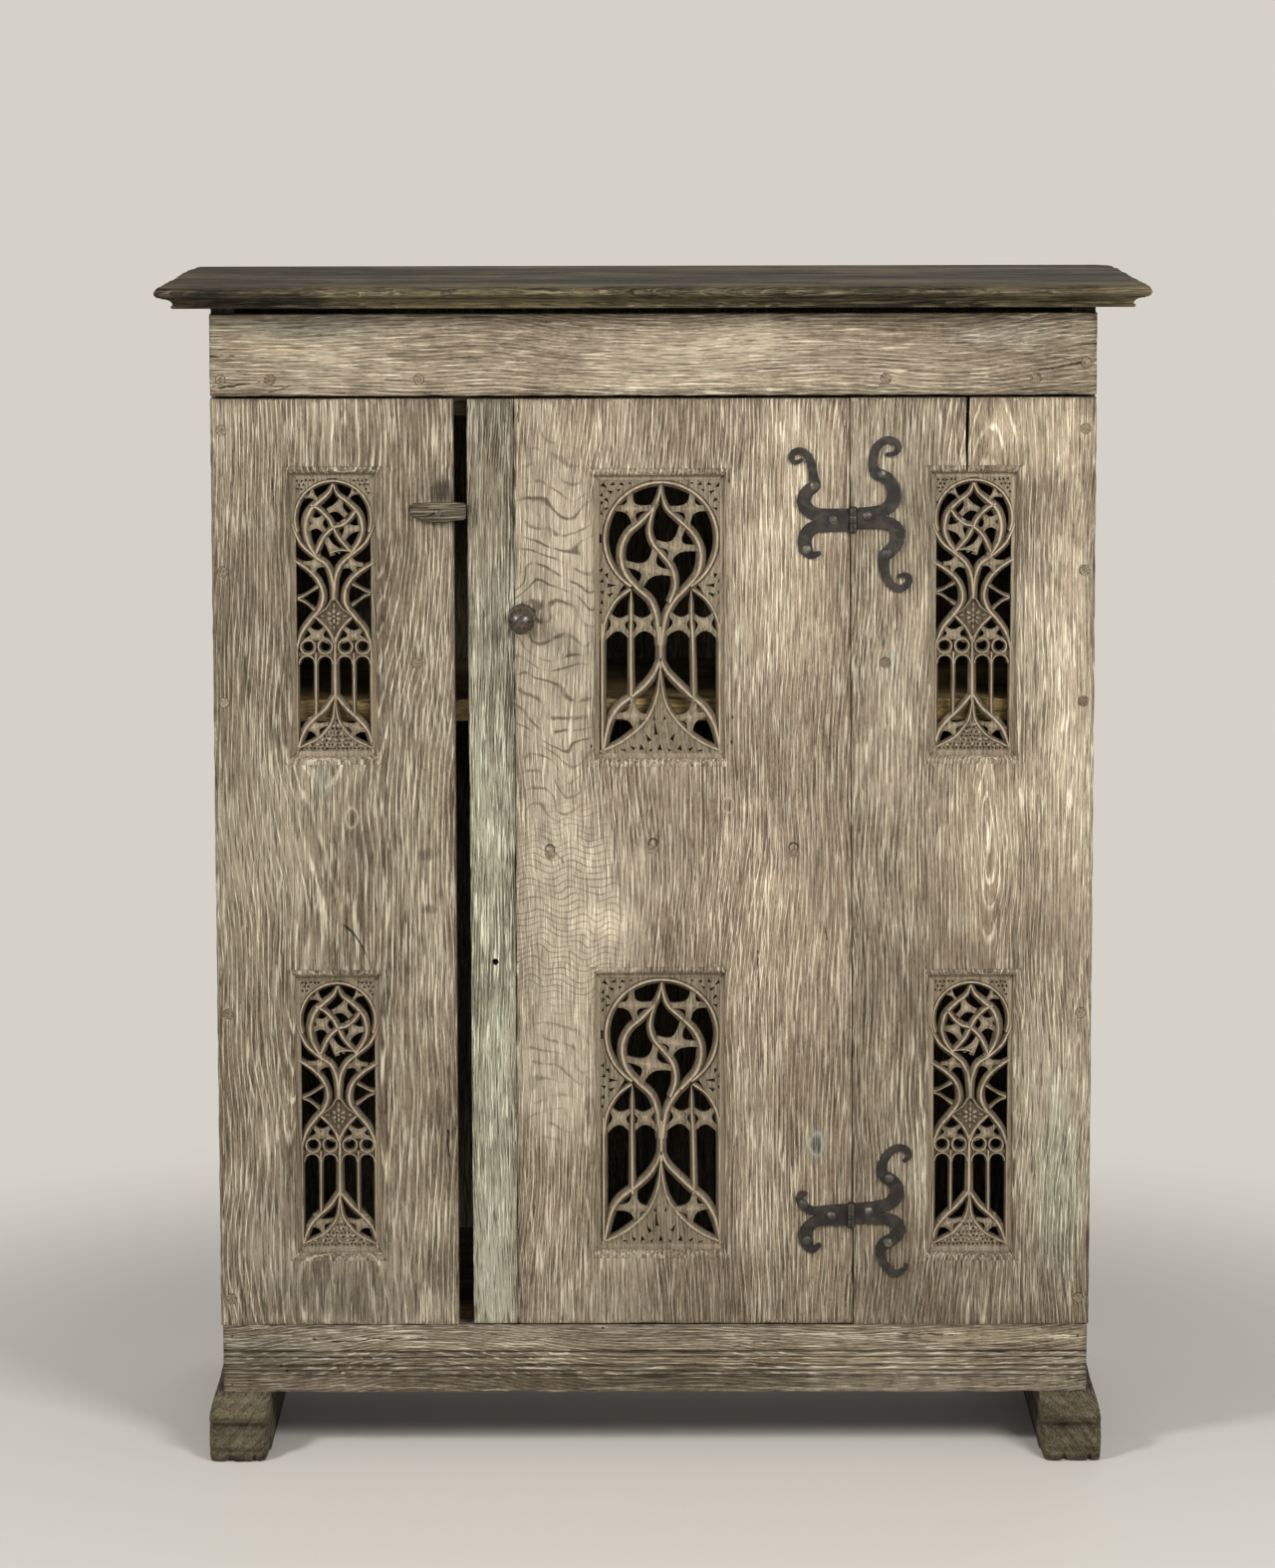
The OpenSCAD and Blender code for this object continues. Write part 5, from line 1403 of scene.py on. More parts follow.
class SideTracery(TraceryPanel):
    """The four narrow panels: a flaming heart over two twin lights."""

    ring: ClassVar[Vec2] = (284.7, 45.5)
    gable_left: ClassVar[tuple[Vec2, ...]] = ((0, 69), (-2, 46), (-9.5, 32.2), (-21.5, 20.5), (-46, 9))
    gable_right: ClassVar[tuple[Vec2, ...]] = ((0.4, 69), (3.8, 46), (11.8, 32.2), (23.3, 20.5), (46, 9))
    bars: ClassVar[tuple[Bar, ...]] = (
        Bar(((-49, 278), (-45, 268), (-37.5, 253.7), (-21.7, 239.5), (-9, 230.5), (-3, 217.6), (-0.6, 203.9),
            (0, 188)), (3.2, 4.2, 4.4)),
        Bar(((49, 278), (45, 268), (37, 254.7), (22.8, 243), (9.8, 231.2), (3.2, 217.6), (0.9, 203.9),
            (0.2, 188)), (3.2, 4.2, 4.4)),
        Bar(((0.1, 327), (-4.6, 316.2), (-15.6, 306), (-26.5, 295.6), (-32, 282), (-32.6, 268.3), (-28.8, 254),
            (-20.2, 240)), (2.6, 4.4, 5.6, 5.0, 3.8)),
        Bar(((0.1, 327), (5.8, 314.2), (18, 304.4), (30.5, 290.8), (34.8, 273.2), (31.2, 258.6), (20.5, 243)),
            (2.6, 4.4, 3.8)),
        Bar(((-26.5, 301.5), (-15.6, 295.7), (-4.8, 284.3), (0.4, 274.2), (8, 260.5), (21.5, 244.9)), (3.4, 3.8, 3.6)),
        Bar(((28.2, 295.7), (18.8, 283.6), (10.1, 277.1), (0.4, 274.2), (-11.3, 262.9), (-20.5, 244)), (3.4, 3.8, 3.8)),
        Bar(((-48, 236), (-31.9, 225.4), (-20.3, 213.7), (-13.8, 200), (-12.9, 188.3), (-17.7, 175.6),
            (-28.4, 163), (-39.1, 147.3), (-45, 128)), (3.4, 4.6, 4.0)),
        Bar(((48, 232), (31, 221.5), (19.1, 209.8), (13.4, 196), (14.3, 182), (24.4, 167.6), (36.3, 153.2),
            (44.6, 134)), (3.4, 4.6, 4.0)),
        Bar(((-21, 167), (-10.5, 156.5), (-3.4, 146), (-0.4, 136)), (2.8, 3.2)),
        Bar(((21, 167), (11, 156.5), (4.4, 146), (1.4, 136)), (2.8, 3.2)),
        Bar(((1.2, 143), (1, 104), (1, 66)), (3.6, 4.2, 4.8)),
        Bar(((-22, 124), (-22, 88), (-22.3, 50)), (2.6, 2.4, 2.4)),
        Bar(((23.4, 124), (23.4, 88), (23.6, 50)), (2.6, 2.4, 2.4)),
        Bar(((0, 73), (-11.3, 56.6), (-24.9, 44.5), (-36, 31.2), (-42.3, 14.6), (-45.2, 4)), (4.0, 4.6, 3.6)),
        Bar(((1.6, 73), (15.4, 56.2), (28.9, 43.4), (40, 29.3), (44.6, 13.7), (46.1, 4)), (4.0, 4.6, 3.6)),
        Bar(gable_left, (2.2, 3.0, 2.4)),
        Bar(gable_right, (2.2, 3.0, 2.4)),
        Bar(((-3.4, 244), (7, 247.6), (22.5, 246.4)), (2.4, 2.0, 2.6), 0.96),
        Bar(((-18, 204), (-27, 198), (-36, 192.6), (-43, 190)), (3.2, 1.8, 2.2, 3.4), 0.92),
        Bar(((-43, 189), (-36, 186), (-29, 181), (-23, 175.5)), (3.4, 2.0, 1.8, 3.2), 0.92),
        Bar(((22, 207), (31, 202), (38, 198.4), (44, 196.6)), (3.2, 1.8, 2.2, 3.4), 0.92),
        Bar(((44, 195), (37, 192), (30, 187), (21.6, 181)), (3.4, 2.0, 1.8, 3.2), 0.92),
        Bar(((-44.5, 136), (-44.5, 70), (-44.5, 6)), (2.4,)),
        Bar(((44.5, 136), (44.5, 70), (44.5, 6)), (2.4,)),
    )
    stars: ClassVar[tuple[Star, ...]] = (
        Star((-24.2, 312.5), ((-25.5, 321), (-31.5, 311.5), (-19.2, 307.6)), 1.8, 1.6),
        Star((21, 315.3), ((24.8, 322.6), (18.6, 309.6), (29.6, 316)), 1.8, 1.6),
        Star((-21.8, 230.9), ((-18.2, 241), (-25.3, 218), (-33.8, 231.5), (-10.5, 229.3)), 2.0),
        Star((22, 230.9), ((18.5, 241), (27.3, 218), (33, 229.8), (11.3, 227.4)), 2.0),
        Star((-24.9, 35), ((-29.2, 44.5), (-18.4, 21.4), (-38, 31.2), (-9.7, 38.1)), 2.0),
        Star((26, 34), ((30.9, 43.5), (19.5, 21.4), (39.6, 30.2), (11.4, 38.1)), 2.0),
        Star((5.3, 299.4), ((11.4, 309.5), (-4, 295), (14, 290)), 2.6, 3.2),
        Star((-18.6, 279.4), ((-10.4, 288), (-28.5, 286), (-28.5, 273), (-11.6, 271.6)), 2.6, 3.0),
        Star((18.7, 272), ((13, 281.6), (32.5, 273.6), (12.4, 261.6)), 2.8, 3.2),
        Star((-4, 251.4), ((-9, 262), (-1.6, 243.4), (6.4, 246.6)), 2.6, 3.2),
        Star((-20.6, 144.6), ((-30, 153), (-10, 153.5), (-35, 139), (-7, 138)), 2.0, 3.0),
        Star((23.6, 144.6), ((33, 152), (12.4, 153.5), (38.6, 139), (10, 138)), 2.0, 3.0),
    )
    eyes: ClassVar[tuple[Vec2, ...]] = ((-31.2, 131.2), (-10.6, 131.8), (13.2, 131.6), (34.2, 131.4))
    lights: ClassVar[tuple[float, ...]] = (-32.4, -11.2, 12.6, 33.6)
    leaves: ClassVar[tuple[tuple[float, tuple[float, ...]], ...]] = (
        (13, (-30, -20, -10, 0, 10, 20, 30)), (20, (-15, -7, 1, 9, 16)), (28, (-7, 1, 8)), (37, (-1, 3)),
    )
    buds: ClassVar[tuple[Vec3, ...]] = (
        (0, 180.5, 90), (0, 154, 90), (13.5, 168, 0), (-13.5, 168, 0), (4.4, 160, 60), (-4.4, 160, 120),
    )

    def carve(self, work: Carving) -> None:
        """Carves the ring, the eyes and the ornament of the narrow pattern."""
        level, radius = self.ring
        past = radius + 2.2
        work.rib(arc((0, level), (radius, radius), -20, 200, 60), (3.4,))
        for eye in self.eyes:
            work.rib(arc(self.put([eye])[0], (8.6, 8.6), 0, 360, 26), (2.5,), 0.95)
        for x in self.lights:
            work.rib(arc(self.put([(x, 111.5)])[0], (9.6, 9.4), -4, 184, 22), (2.2,), 0.94)
        for low, high in ((-43, 0), (2, 43)):
            work.plate(self.put(((low, 120), (high, 120), (high, 125.4), (low, 125.4))), work.BACK, 7.6)
        for s in (-1, 1):
            line = arc((0, level), (past, past), 96, 172, 18)
            corner = [Vector((-47, level + 6)), Vector((-47, self.high - 4)), Vector((-5, self.high - 4))]
            outline = [Vector((p.x * s, p.y)) for p in line + corner]
            work.chipped(outline, self.scattered(outline, 5.0, 4.4), 4.6, 9.4)
        self.lozenge(work)
        self.boss(work)

    def lozenge(self, work: Carving) -> None:
        """Carves the six-petalled flower on the lozenge over the central bar."""
        outline = self.put(((0, 192), (-9, 178), (-23, 167.5), (-9, 155), (0.9, 141), (10, 155), (23, 168), (9.4, 178)))
        work.plate(outline, work.BACK, 6.4)
        for a, b in zip(outline, outline[1:] + outline[:1]):
            work.rib([a, a.lerp(b, 0.5), b], (1.7,), 0.93)
        for i in range(6):
            petal = heading(math.radians(30 + 60 * i)) * 6.0
            work.dome((petal.x, 168 + petal.y), (4.0, 2.5), 30 + 60 * i, 5.8, 10.6, 10)
        work.dome((0, 168), (2.5, 2.5), 0, 6.0, 11.2, 10)
        for x, z, turn in self.buds:
            work.dome((x * self.flip, z), (4.2, 1.9), turn, 5.6, 10.0, 8)

    def boss(self, work: Carving) -> None:
        """Carves the leafy boss under the lower gable."""
        outline = self.under_gable(46, -46)
        work.chipped(outline, self.scattered(outline, 4.8, 4.2), 4.6, 9.0)
        rng = random.Random(self.seed * 3)
        for z, spread in self.leaves:
            for x in spread:
                spot = (x + rng.uniform(-0.8, 0.8), z + rng.uniform(-1, 1))
                radii = (rng.uniform(2.8, 3.9), rng.uniform(1.5, 2.0))
                work.dome(spot, radii, rng.uniform(0, 180), 8.0, rng.uniform(10.6, 11.4), 8)


class DoorTracery(TraceryPanel):
    """The two wide panels of the door: a swirling ring over four lights."""

    ring: ClassVar[Vec3] = (2.0, 263.6, 67.2)
    ground: ClassVar[float] = 3.4
    face: ClassVar[float] = 9.2
    arch_left: ClassVar[tuple[Vec2, ...]] = ((-34, 203), (-50, 191.3), (-60.2, 176), (-65.6, 160.4), (-67.4, 140))
    arch_right: ClassVar[tuple[Vec2, ...]] = ((39, 203), (55.2, 191.6), (65.3, 176), (70.4, 160.4), (71.4, 140))
    gable_left: ClassVar[tuple[Vec2, ...]] = (
        (0.6, 108), (-1.3, 84.3), (-6.3, 64.8), (-16, 45.3), (-31.7, 29.7), (-50, 17), (-71, 8),
    )
    gable_right: ClassVar[tuple[Vec2, ...]] = (
        (1.0, 108), (3.3, 84.3), (9, 62.8), (20.2, 45.3), (37.5, 27.7), (55.8, 16), (75, 8),
    )
    bars: ClassVar[tuple[Bar, ...]] = (
        Bar(((2.1, 329), (0.2, 316), (-6.3, 300.9), (-21.7, 283.8), (-36.5, 270.7), (-44.6, 254.1),
            (-45.2, 236.5), (-39, 219), (-25.5, 203.4), (-11, 189.7), (-4, 172.1), (-1.4, 152), (-0.4, 136)),
            (2.6, 4.6, 5.4, 5.2, 4.8)),
        Bar(((2.1, 329), (3.6, 314), (9.6, 299), (24, 285.3), (39, 270.7), (48, 254.1), (49.4, 236.5),
            (44.4, 219), (31.4, 203.4), (18.3, 189.7), (8.6, 172.1), (4.4, 152), (3, 136)),
            (2.6, 4.6, 5.4, 5.2, 4.8)),
        Bar(((-2.6, 309), (-9.2, 291.2), (-12.1, 273.6), (-7.7, 258), (1.9, 245.9), (12.5, 232.6), (17.9, 219),
            (18.3, 204.3), (12.4, 187)), (3.0, 4.4, 4.8, 4.4)),
        Bar(arch_left, (3.2, 3.8, 3.6)),
        Bar(arch_right, (3.2, 3.8, 3.6)),
        Bar(((-33.7, 202), (-33.7, 184), (-33.7, 165.3), (-34, 150.7), (-33.9, 110), (-33.7, 68)),
            (0.7, 2.9, 3.4, 3.6, 3.8, 4.2)),
        Bar(((37.9, 202), (38.1, 184), (38.3, 165.3), (39.4, 150.7), (40.4, 110), (41, 68)),
            (0.7, 2.9, 3.4, 3.6, 3.8, 4.2)),
        Bar(((1.2, 158), (1.4, 136), (1.2, 108)), (5.6, 5.2, 5.8)),
        Bar(((1.3, 120), (-4.8, 104.4), (-16, 88.6), (-31.7, 75), (-47.5, 62.8), (-57.7, 48.2), (-63.5, 29.7),
            (-68, 6)), (4.6, 5.2, 5.4, 4.6)),
        Bar(((1.3, 120), (7.9, 105.2), (20.6, 91.1), (37.5, 74.6), (52.9, 60.9), (64, 43.3), (69.6, 25.8),
            (73, 6)), (4.6, 5.2, 5.4, 4.6)),
        Bar(gable_left, (2.4, 3.6, 4.4, 3.6)),
        Bar(gable_right, (2.4, 3.6, 4.4, 3.6)),
        Bar(((-68.4, 162), (-68.4, 90), (-68.4, 6)), (4.2, 4.4, 4.0)),
        Bar(((72, 162), (72, 90), (72, 6)), (3.8, 4.0, 3.6)),
    )
    stars: ClassVar[tuple[Star, ...]] = (
        Star((-34.6, 299), ((-34.6, 317.5), (-51.7, 300), (-11.5, 299.5), (-29.2, 281.5)), 3.2),
        Star((37.3, 299), ((40.4, 317.5), (55.4, 300), (13.6, 298.4), (33.1, 281.0)), 3.2),
        Star((18.3, 252.1), ((-1.5, 257), (46.3, 252.1), (27.5, 276.7), (11.4, 237.0)), 3.4),
        Star((-11.5, 225.8), ((-42, 233.6), (16.4, 222.2), (-4.4, 250.3), (-23, 206.2)), 3.4),
        Star((-49.6, 161.4), ((-64.5, 146), (-61.7, 173.4), (-35.4, 147.2), (-34.6, 169.8)), 2.8),
        Star((-18.6, 161.4), ((-2.6, 147.2), (-5.6, 173.1), (-32.2, 147.2), (-32.8, 169.8)), 2.8),
        Star((25, 162.4), ((6.4, 148.2), (11.4, 174.1), (37.2, 148.2), (37, 170.6)), 2.8),
        Star((54.4, 161.4), ((41.4, 148.2), (40.2, 170.4), (69.4, 147.2), (65.8, 172.4)), 2.8),
        Star((-31.7, 51.1), ((-31.4, 71.8), (-54, 50.6), (-9.8, 47.6), (-25.6, 28.8)), 3.2),
        Star((38.5, 49.2), ((42.6, 69.8), (57.6, 52.6), (15.6, 47.6), (35.2, 28.2)), 3.2),
    )
    corner_chips: ClassVar[tuple[tuple[float, ...], ...]] = (
        (-66, 327, 8.5, 5.5, -35), (-55.5, 328.6, 6.5, 4.4, 200), (-44.5, 328.6, 6.5, 4.4, -20),
        (-58.5, 319.5, 7.5, 4.6, 150),
        (-48, 321.5, 5.6, 3.4, 30), (-68.4, 316, 6.5, 4.2, 70), (-62.4, 309.6, 7.5, 4.6, -50),
        (-68.6, 306, 6.6, 4.0, 250),
        (-62.8, 299.4, 6.8, 3.8, 20), (-35, 329.8, 5.0, 3.0, 180), (-68.8, 294, 5.4, 3.2, 90),
    )
    side_chips: ClassVar[tuple[tuple[float, ...], ...]] = (
        (-69, 226, 6.0, 4.4, 60), (-62.6, 219.6, 7.0, 5.0, -75), (-57.6, 207.6, 12.5, 5.4, 0),
        (-68.2, 212.6, 6.2, 5.0, 200),
        (-58.4, 196.6, 9.0, 5.0, 30), (-68, 199.6, 6.2, 4.8, 160), (-68.4, 187.6, 7.2, 4.4, 80),
        (-69.6, 176, 6.0, 3.0, 90),
    )
    boss_chips: ClassVar[tuple[tuple[float, ...], ...]] = (
        (-4.6, 34, 18, 4.4, 96), (5.6, 34, 18, 4.4, 84), (-13.6, 23.4, 11, 5.4, 118), (15.6, 24.6, 11, 5.4, 62),
        (-6.4, 48, 7, 3.0, 100),
        (6.6, 48.4, 7, 3.0, 80), (-21.6, 12.4, 8, 6.0, 100), (24.4, 12, 8, 6.4, 80), (-32, 12.2, 8, 4.4, 140),
        (37.4, 11, 8, 4.2, 40),
        (-43, 9.6, 7, 3.2, 165), (49, 8.8, 7, 3.0, 15), (0.5, 12.4, 9, 5.6, 90), (-10.2, 9.8, 6, 3.4, 60),
        (11.4, 9.8, 6, 3.4, 120),
    )

    def carve(self, work: Carving) -> None:
        """Carves the ring and the leaves of the wide pattern."""
        x, z, radius = self.ring
        past = radius + 3.2
        work.rib(arc(self.put([(x, z)])[0], (radius, radius), -58, 238, 80), (4.4,))
        corner = arc((x, z), (past, past), 97, 176, 22)
        corner += [Vector((-73, z + 6)), Vector((-73, self.high - 4)), Vector((x - 10, self.high - 4))]
        side = arc((x, z), (past, past), 184, 231, 12)
        side += [p + Vector((-1.6, 1.6)) for p in curve(self.arch_left, 4)[4:]]
        side += [Vector((-73, 142)), Vector((-73, z - 6))]
        for s in (1, -1):
            for region, cuts in ((corner, self.corner_chips), (side, self.side_chips)):
                outline = self.put([((p.x - x) * s + x, p.y) for p in region])
                work.chipped(outline, self.chips(cuts, s, x), self.ground, self.face)
        work.chipped(self.under_gable(75, -73), self.chips(self.boss_chips), self.ground, self.face)


# Sub-assemblies


def grain_noise(point: Vector, *layers: Vec2) -> Vector:
    """Random pushes at a point, summed from layers that are each a weight and waves per metre."""
    return sum((weight * noise.noise_vector(point * pitch) for weight, pitch in layers), Vector())


@dataclass(frozen=True)
class EdgeWear:
    """Wears the front arrises of a board unevenly, and only inwards."""

    low: Vector
    high: Vector

    REACH: ClassVar[float] = 0.0035
    DEPTH: ClassVar[float] = 0.0014
    PITCH: ClassVar[float] = 42.0
    STEP: ClassVar[float] = 0.012
    RIM: ClassVar[float] = 0.005

    def cuts(self) -> list[tuple[int, float]]:
        """Planes that cut the board along its edges, the long ones more finely."""
        made = []
        for axis in (0, 2):
            span = self.high[axis] - self.low[axis]
            made += [(axis, self.low[axis] + self.RIM), (axis, self.high[axis] - self.RIM)]
            long = span == max(self.high[0] - self.low[0], self.high[2] - self.low[2])
            count = int(span / (self.STEP if long else self.STEP * 2))
            made += [(axis, self.low[axis] + span * i / count) for i in range(1, count)]
        return made

    def __call__(self, point: Vector) -> Vector:
        """Gives the worn place of a point."""
        if point.y - self.low.y > self.REACH:
            return point
        worn = point.copy()
        rough = grain_noise(point, (1, self.PITCH), (0.5, self.PITCH * 3.1))
        for axis in (0, 2):
            for edge, way in ((self.low[axis], 1), (self.high[axis], -1)):
                if abs(point[axis] - edge) < self.REACH * 0.5:
                    bite = self.DEPTH * max(0.0, rough[axis] + 0.25)
                    worn[axis] += way * bite * 0.7
                    worn.y += bite
        return worn


@dataclass(frozen=True)
class TopWear:
    """Wears the nosing and the ends of the top board, where hands and cloths rubbed it."""

    low: Vector
    high: Vector

    DEPTH: ClassVar[float] = 0.0042
    NOSING: ClassVar[float] = 0.014
    REACH: ClassVar[float] = 0.012
    REAR: ClassVar[float] = 0.05

    def cuts(self) -> list[tuple[int, float]]:
        """Planes that cut the board along its front and ends."""
        made = [(0, self.low.x + 0.02 + 0.0095 * i) for i in range(120)]
        made += [(1, self.low.y + 0.014 + 0.012 * i) for i in range(41)]
        made += [(0, self.low.x + 0.008), (0, self.high.x - 0.008), (1, self.low.y + 0.006)]
        return [cut for cut in made if self.low[cut[0]] < cut[1] < self.high[cut[0]]]

    def __call__(self, point: Vector) -> Vector:
        """Gives the worn place of a point."""
        worn = point.copy()
        rough = grain_noise(point, (1, 34), (0.6, 95), (0.4, 8))
        high = max(0.0, 1 - (self.high.z - point.z) / self.NOSING)
        front = max(0.0, 1 - (point.y - self.low.y) / self.REACH)
        side = max(0.0, 1 - min(point.x - self.low.x, self.high.x - point.x) / self.REACH)
        worn.y += self.DEPTH * front * max(0.0, rough.y + 0.15) * (0.35 + 0.65 * high)
        worn.x += math.copysign(self.DEPTH * side * max(0.0, rough.x + 0.15), -point.x)
        worn.z -= 0.0022 * high * max(front, side) * max(0.0, rough.z + 0.5)
        past = point.y - self.high.y + self.REAR
        if past > 0 and abs(point.x) > self.high.x - 0.035:
            worn.x *= 1 - 0.010 * past / self.REAR
        return worn


@dataclass(frozen=True)
class ToeWear:
    """Rounds the swellings of a foot's toe and notches its lower lip, as damp floors did."""

    low: Vector
    high: Vector

    FRONT: ClassVar[float] = -0.193
    CORNER: ClassVar[float] = 0.013
    LIP: ClassVar[float] = 0.017
    NOTCHES: ClassVar[tuple[Vec2, ...]] = ((0.36, 0.05), (0.80, 0.035))
    SAWN: ClassVar[tuple[Vec2, ...]] = (
        (0, 61), (10.1, 64), (16.2, 62), (28.9, 53.8), (37, 41.6), (43.6, 36), (51.7, 37.6), (62.9, 28.4),
        (69.5, 14.2), (71, 8),
    )
    CARVED: ClassVar[tuple[Vec2, ...]] = (
        (0, 57), (3, 60), (8, 60.5), (12, 56.5), (18, 58.5), (26, 53), (33, 43.5), (38, 36.5), (44, 41.5),
        (51, 43), (58, 37),
        (64, 27), (69.5, 14.2), (71, 8),
    )

    def cuts(self) -> list[tuple[int, float]]:
        """Planes that cut the toe across its width and length."""
        span = self.high.x - self.low.x
        made = [(0, self.low.x + span * i / 30) for i in range(1, 30)]
        made += [(2, 0.003 + 0.003 * i) for i in range(23)]
        return made + [(1, self.FRONT - 0.001), (1, self.FRONT - 0.012)]

    @staticmethod
    def reach(line: Sequence[Vec2], height: float) -> float:
        """How far a profile stands out.

        Args:
            line: Heights and reaches of the profile.
            height: The height that is asked for, in millimetres.

        Returns:
            The reach in millimetres.
        """
        for (low, a), (high, b) in zip(line, line[1:]):
            if low <= height <= high:
                return a + (b - a) * (height - low) / (high - low)
        return line[-1][1]

    def __call__(self, point: Vector) -> Vector:
        """Gives the worn place of a point."""
        if point.y > self.FRONT + 0.0005:
            return point
        worn = point.copy()
        stands = self.reach(self.CARVED, point.z / MM) / self.reach(self.SAWN, point.z / MM)
        worn.y = self.FRONT + (point.y - self.FRONT) * stands
        inward = min(point.x - self.low.x, self.high.x - point.x)
        ahead = min(1.0, (self.FRONT - point.y) / 0.02)
        if inward < self.CORNER:
            away = self.CORNER - inward
            worn.y += (self.CORNER - math.sqrt(max(0.0, self.CORNER**2 - away**2))) * ahead
        share = (point.x - self.low.x) / (self.high.x - self.low.x)
        low = max(0.0, 1 - point.z / self.LIP)
        for notch, wide in self.NOTCHES:
            bite = math.exp(-(((share - notch) / wide) ** 2)) * ahead
            worn.y += 0.010 * low * bite
            if point.z < 0.001:
                worn.z += 0.006 * bite
        rough = grain_noise(point, (1, 38), (0.5, 110))
        worn.y += 0.0016 * (1 + rough.y) * ahead
        middle = (self.low.x + self.high.x) / 2
        waist = 0.07 * max(0.0, 1 - point.z / 0.04) + 0.012 * (1 + rough.x)
        worn.x = middle + (worn.x - middle) * (1 - ahead * waist)
        return worn


class Assembly:
    """What every sub-assembly needs: the finishes, and how a board is dressed."""

    body = "case"

    def __init__(self, kit: Finishes) -> None:
        """Keeps the shared finishes."""
        self.kit = kit

    def wood(self, node: str, finish: OakFinish, grain: Grain, figure: Figure = Figure()) -> bpy.types.Material:
        """A finish of its own for one piece of wood."""
        return finish.material(node + "_finish", self.kit, grain, self.kit.next_shift(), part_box(node), figure)

    def oak(
        self, node: str, finish: OakFinish, grain: Grain, figure: Figure = Figure(), round_over: float = 0.8
    ) -> None:
        """Dresses one solid in its own piece of wood."""
        Piece.dress(node, self.wood(node, finish, grain, figure), round_over)

    def worn(
        self,
        node: str,
        finish: OakFinish,
        grain: Grain,
        figure: Figure,
        round_over: float = 0.7,
        kind: type[EdgeWear | TopWear | ToeWear] = EdgeWear,
    ) -> None:
        """Dresses one board and wears its edges.

        Args:
            node: Name of the solid.
            finish: Its finish.
            grain: Which way its grain runs.
            figure: How it was sawn and what its front shows.
            round_over: How far its edges are rounded, in millimetres.
            kind: How it is worn.
        """
        material = self.wood(node, finish, grain, figure)
        made = Piece.worn(node, self.body, finish.slot, material, kind(*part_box(node)))
        Piece.round_edges(made, round_over)

    def tracery(self, kind: type[TraceryPanel], name: str, seed: int, flip: int = 1) -> None:
        """Carves one pierced panel in the place of its solid.

        Args:
            kind: Which pattern it has.
            name: Name of the solid.
            seed: Varies its small carving.
            flip: -1 for a panel that is a mirror image.
        """
        low, high = (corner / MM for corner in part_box(name))
        lap = TraceryPanel.REBATE
        panel = kind(
            name, self.body, (low.x + high.x) / 2, low.z + lap, high.x - low.x - 2 * lap, high.z - low.z - 2 * lap,
            flip, low.y, high.y - low.y, seed,
        )
        made = panel.build(self.wood(name, CARVED, Grain.UP))
        log.info("%s: %d faces", made.name, len(made.data.polygons))


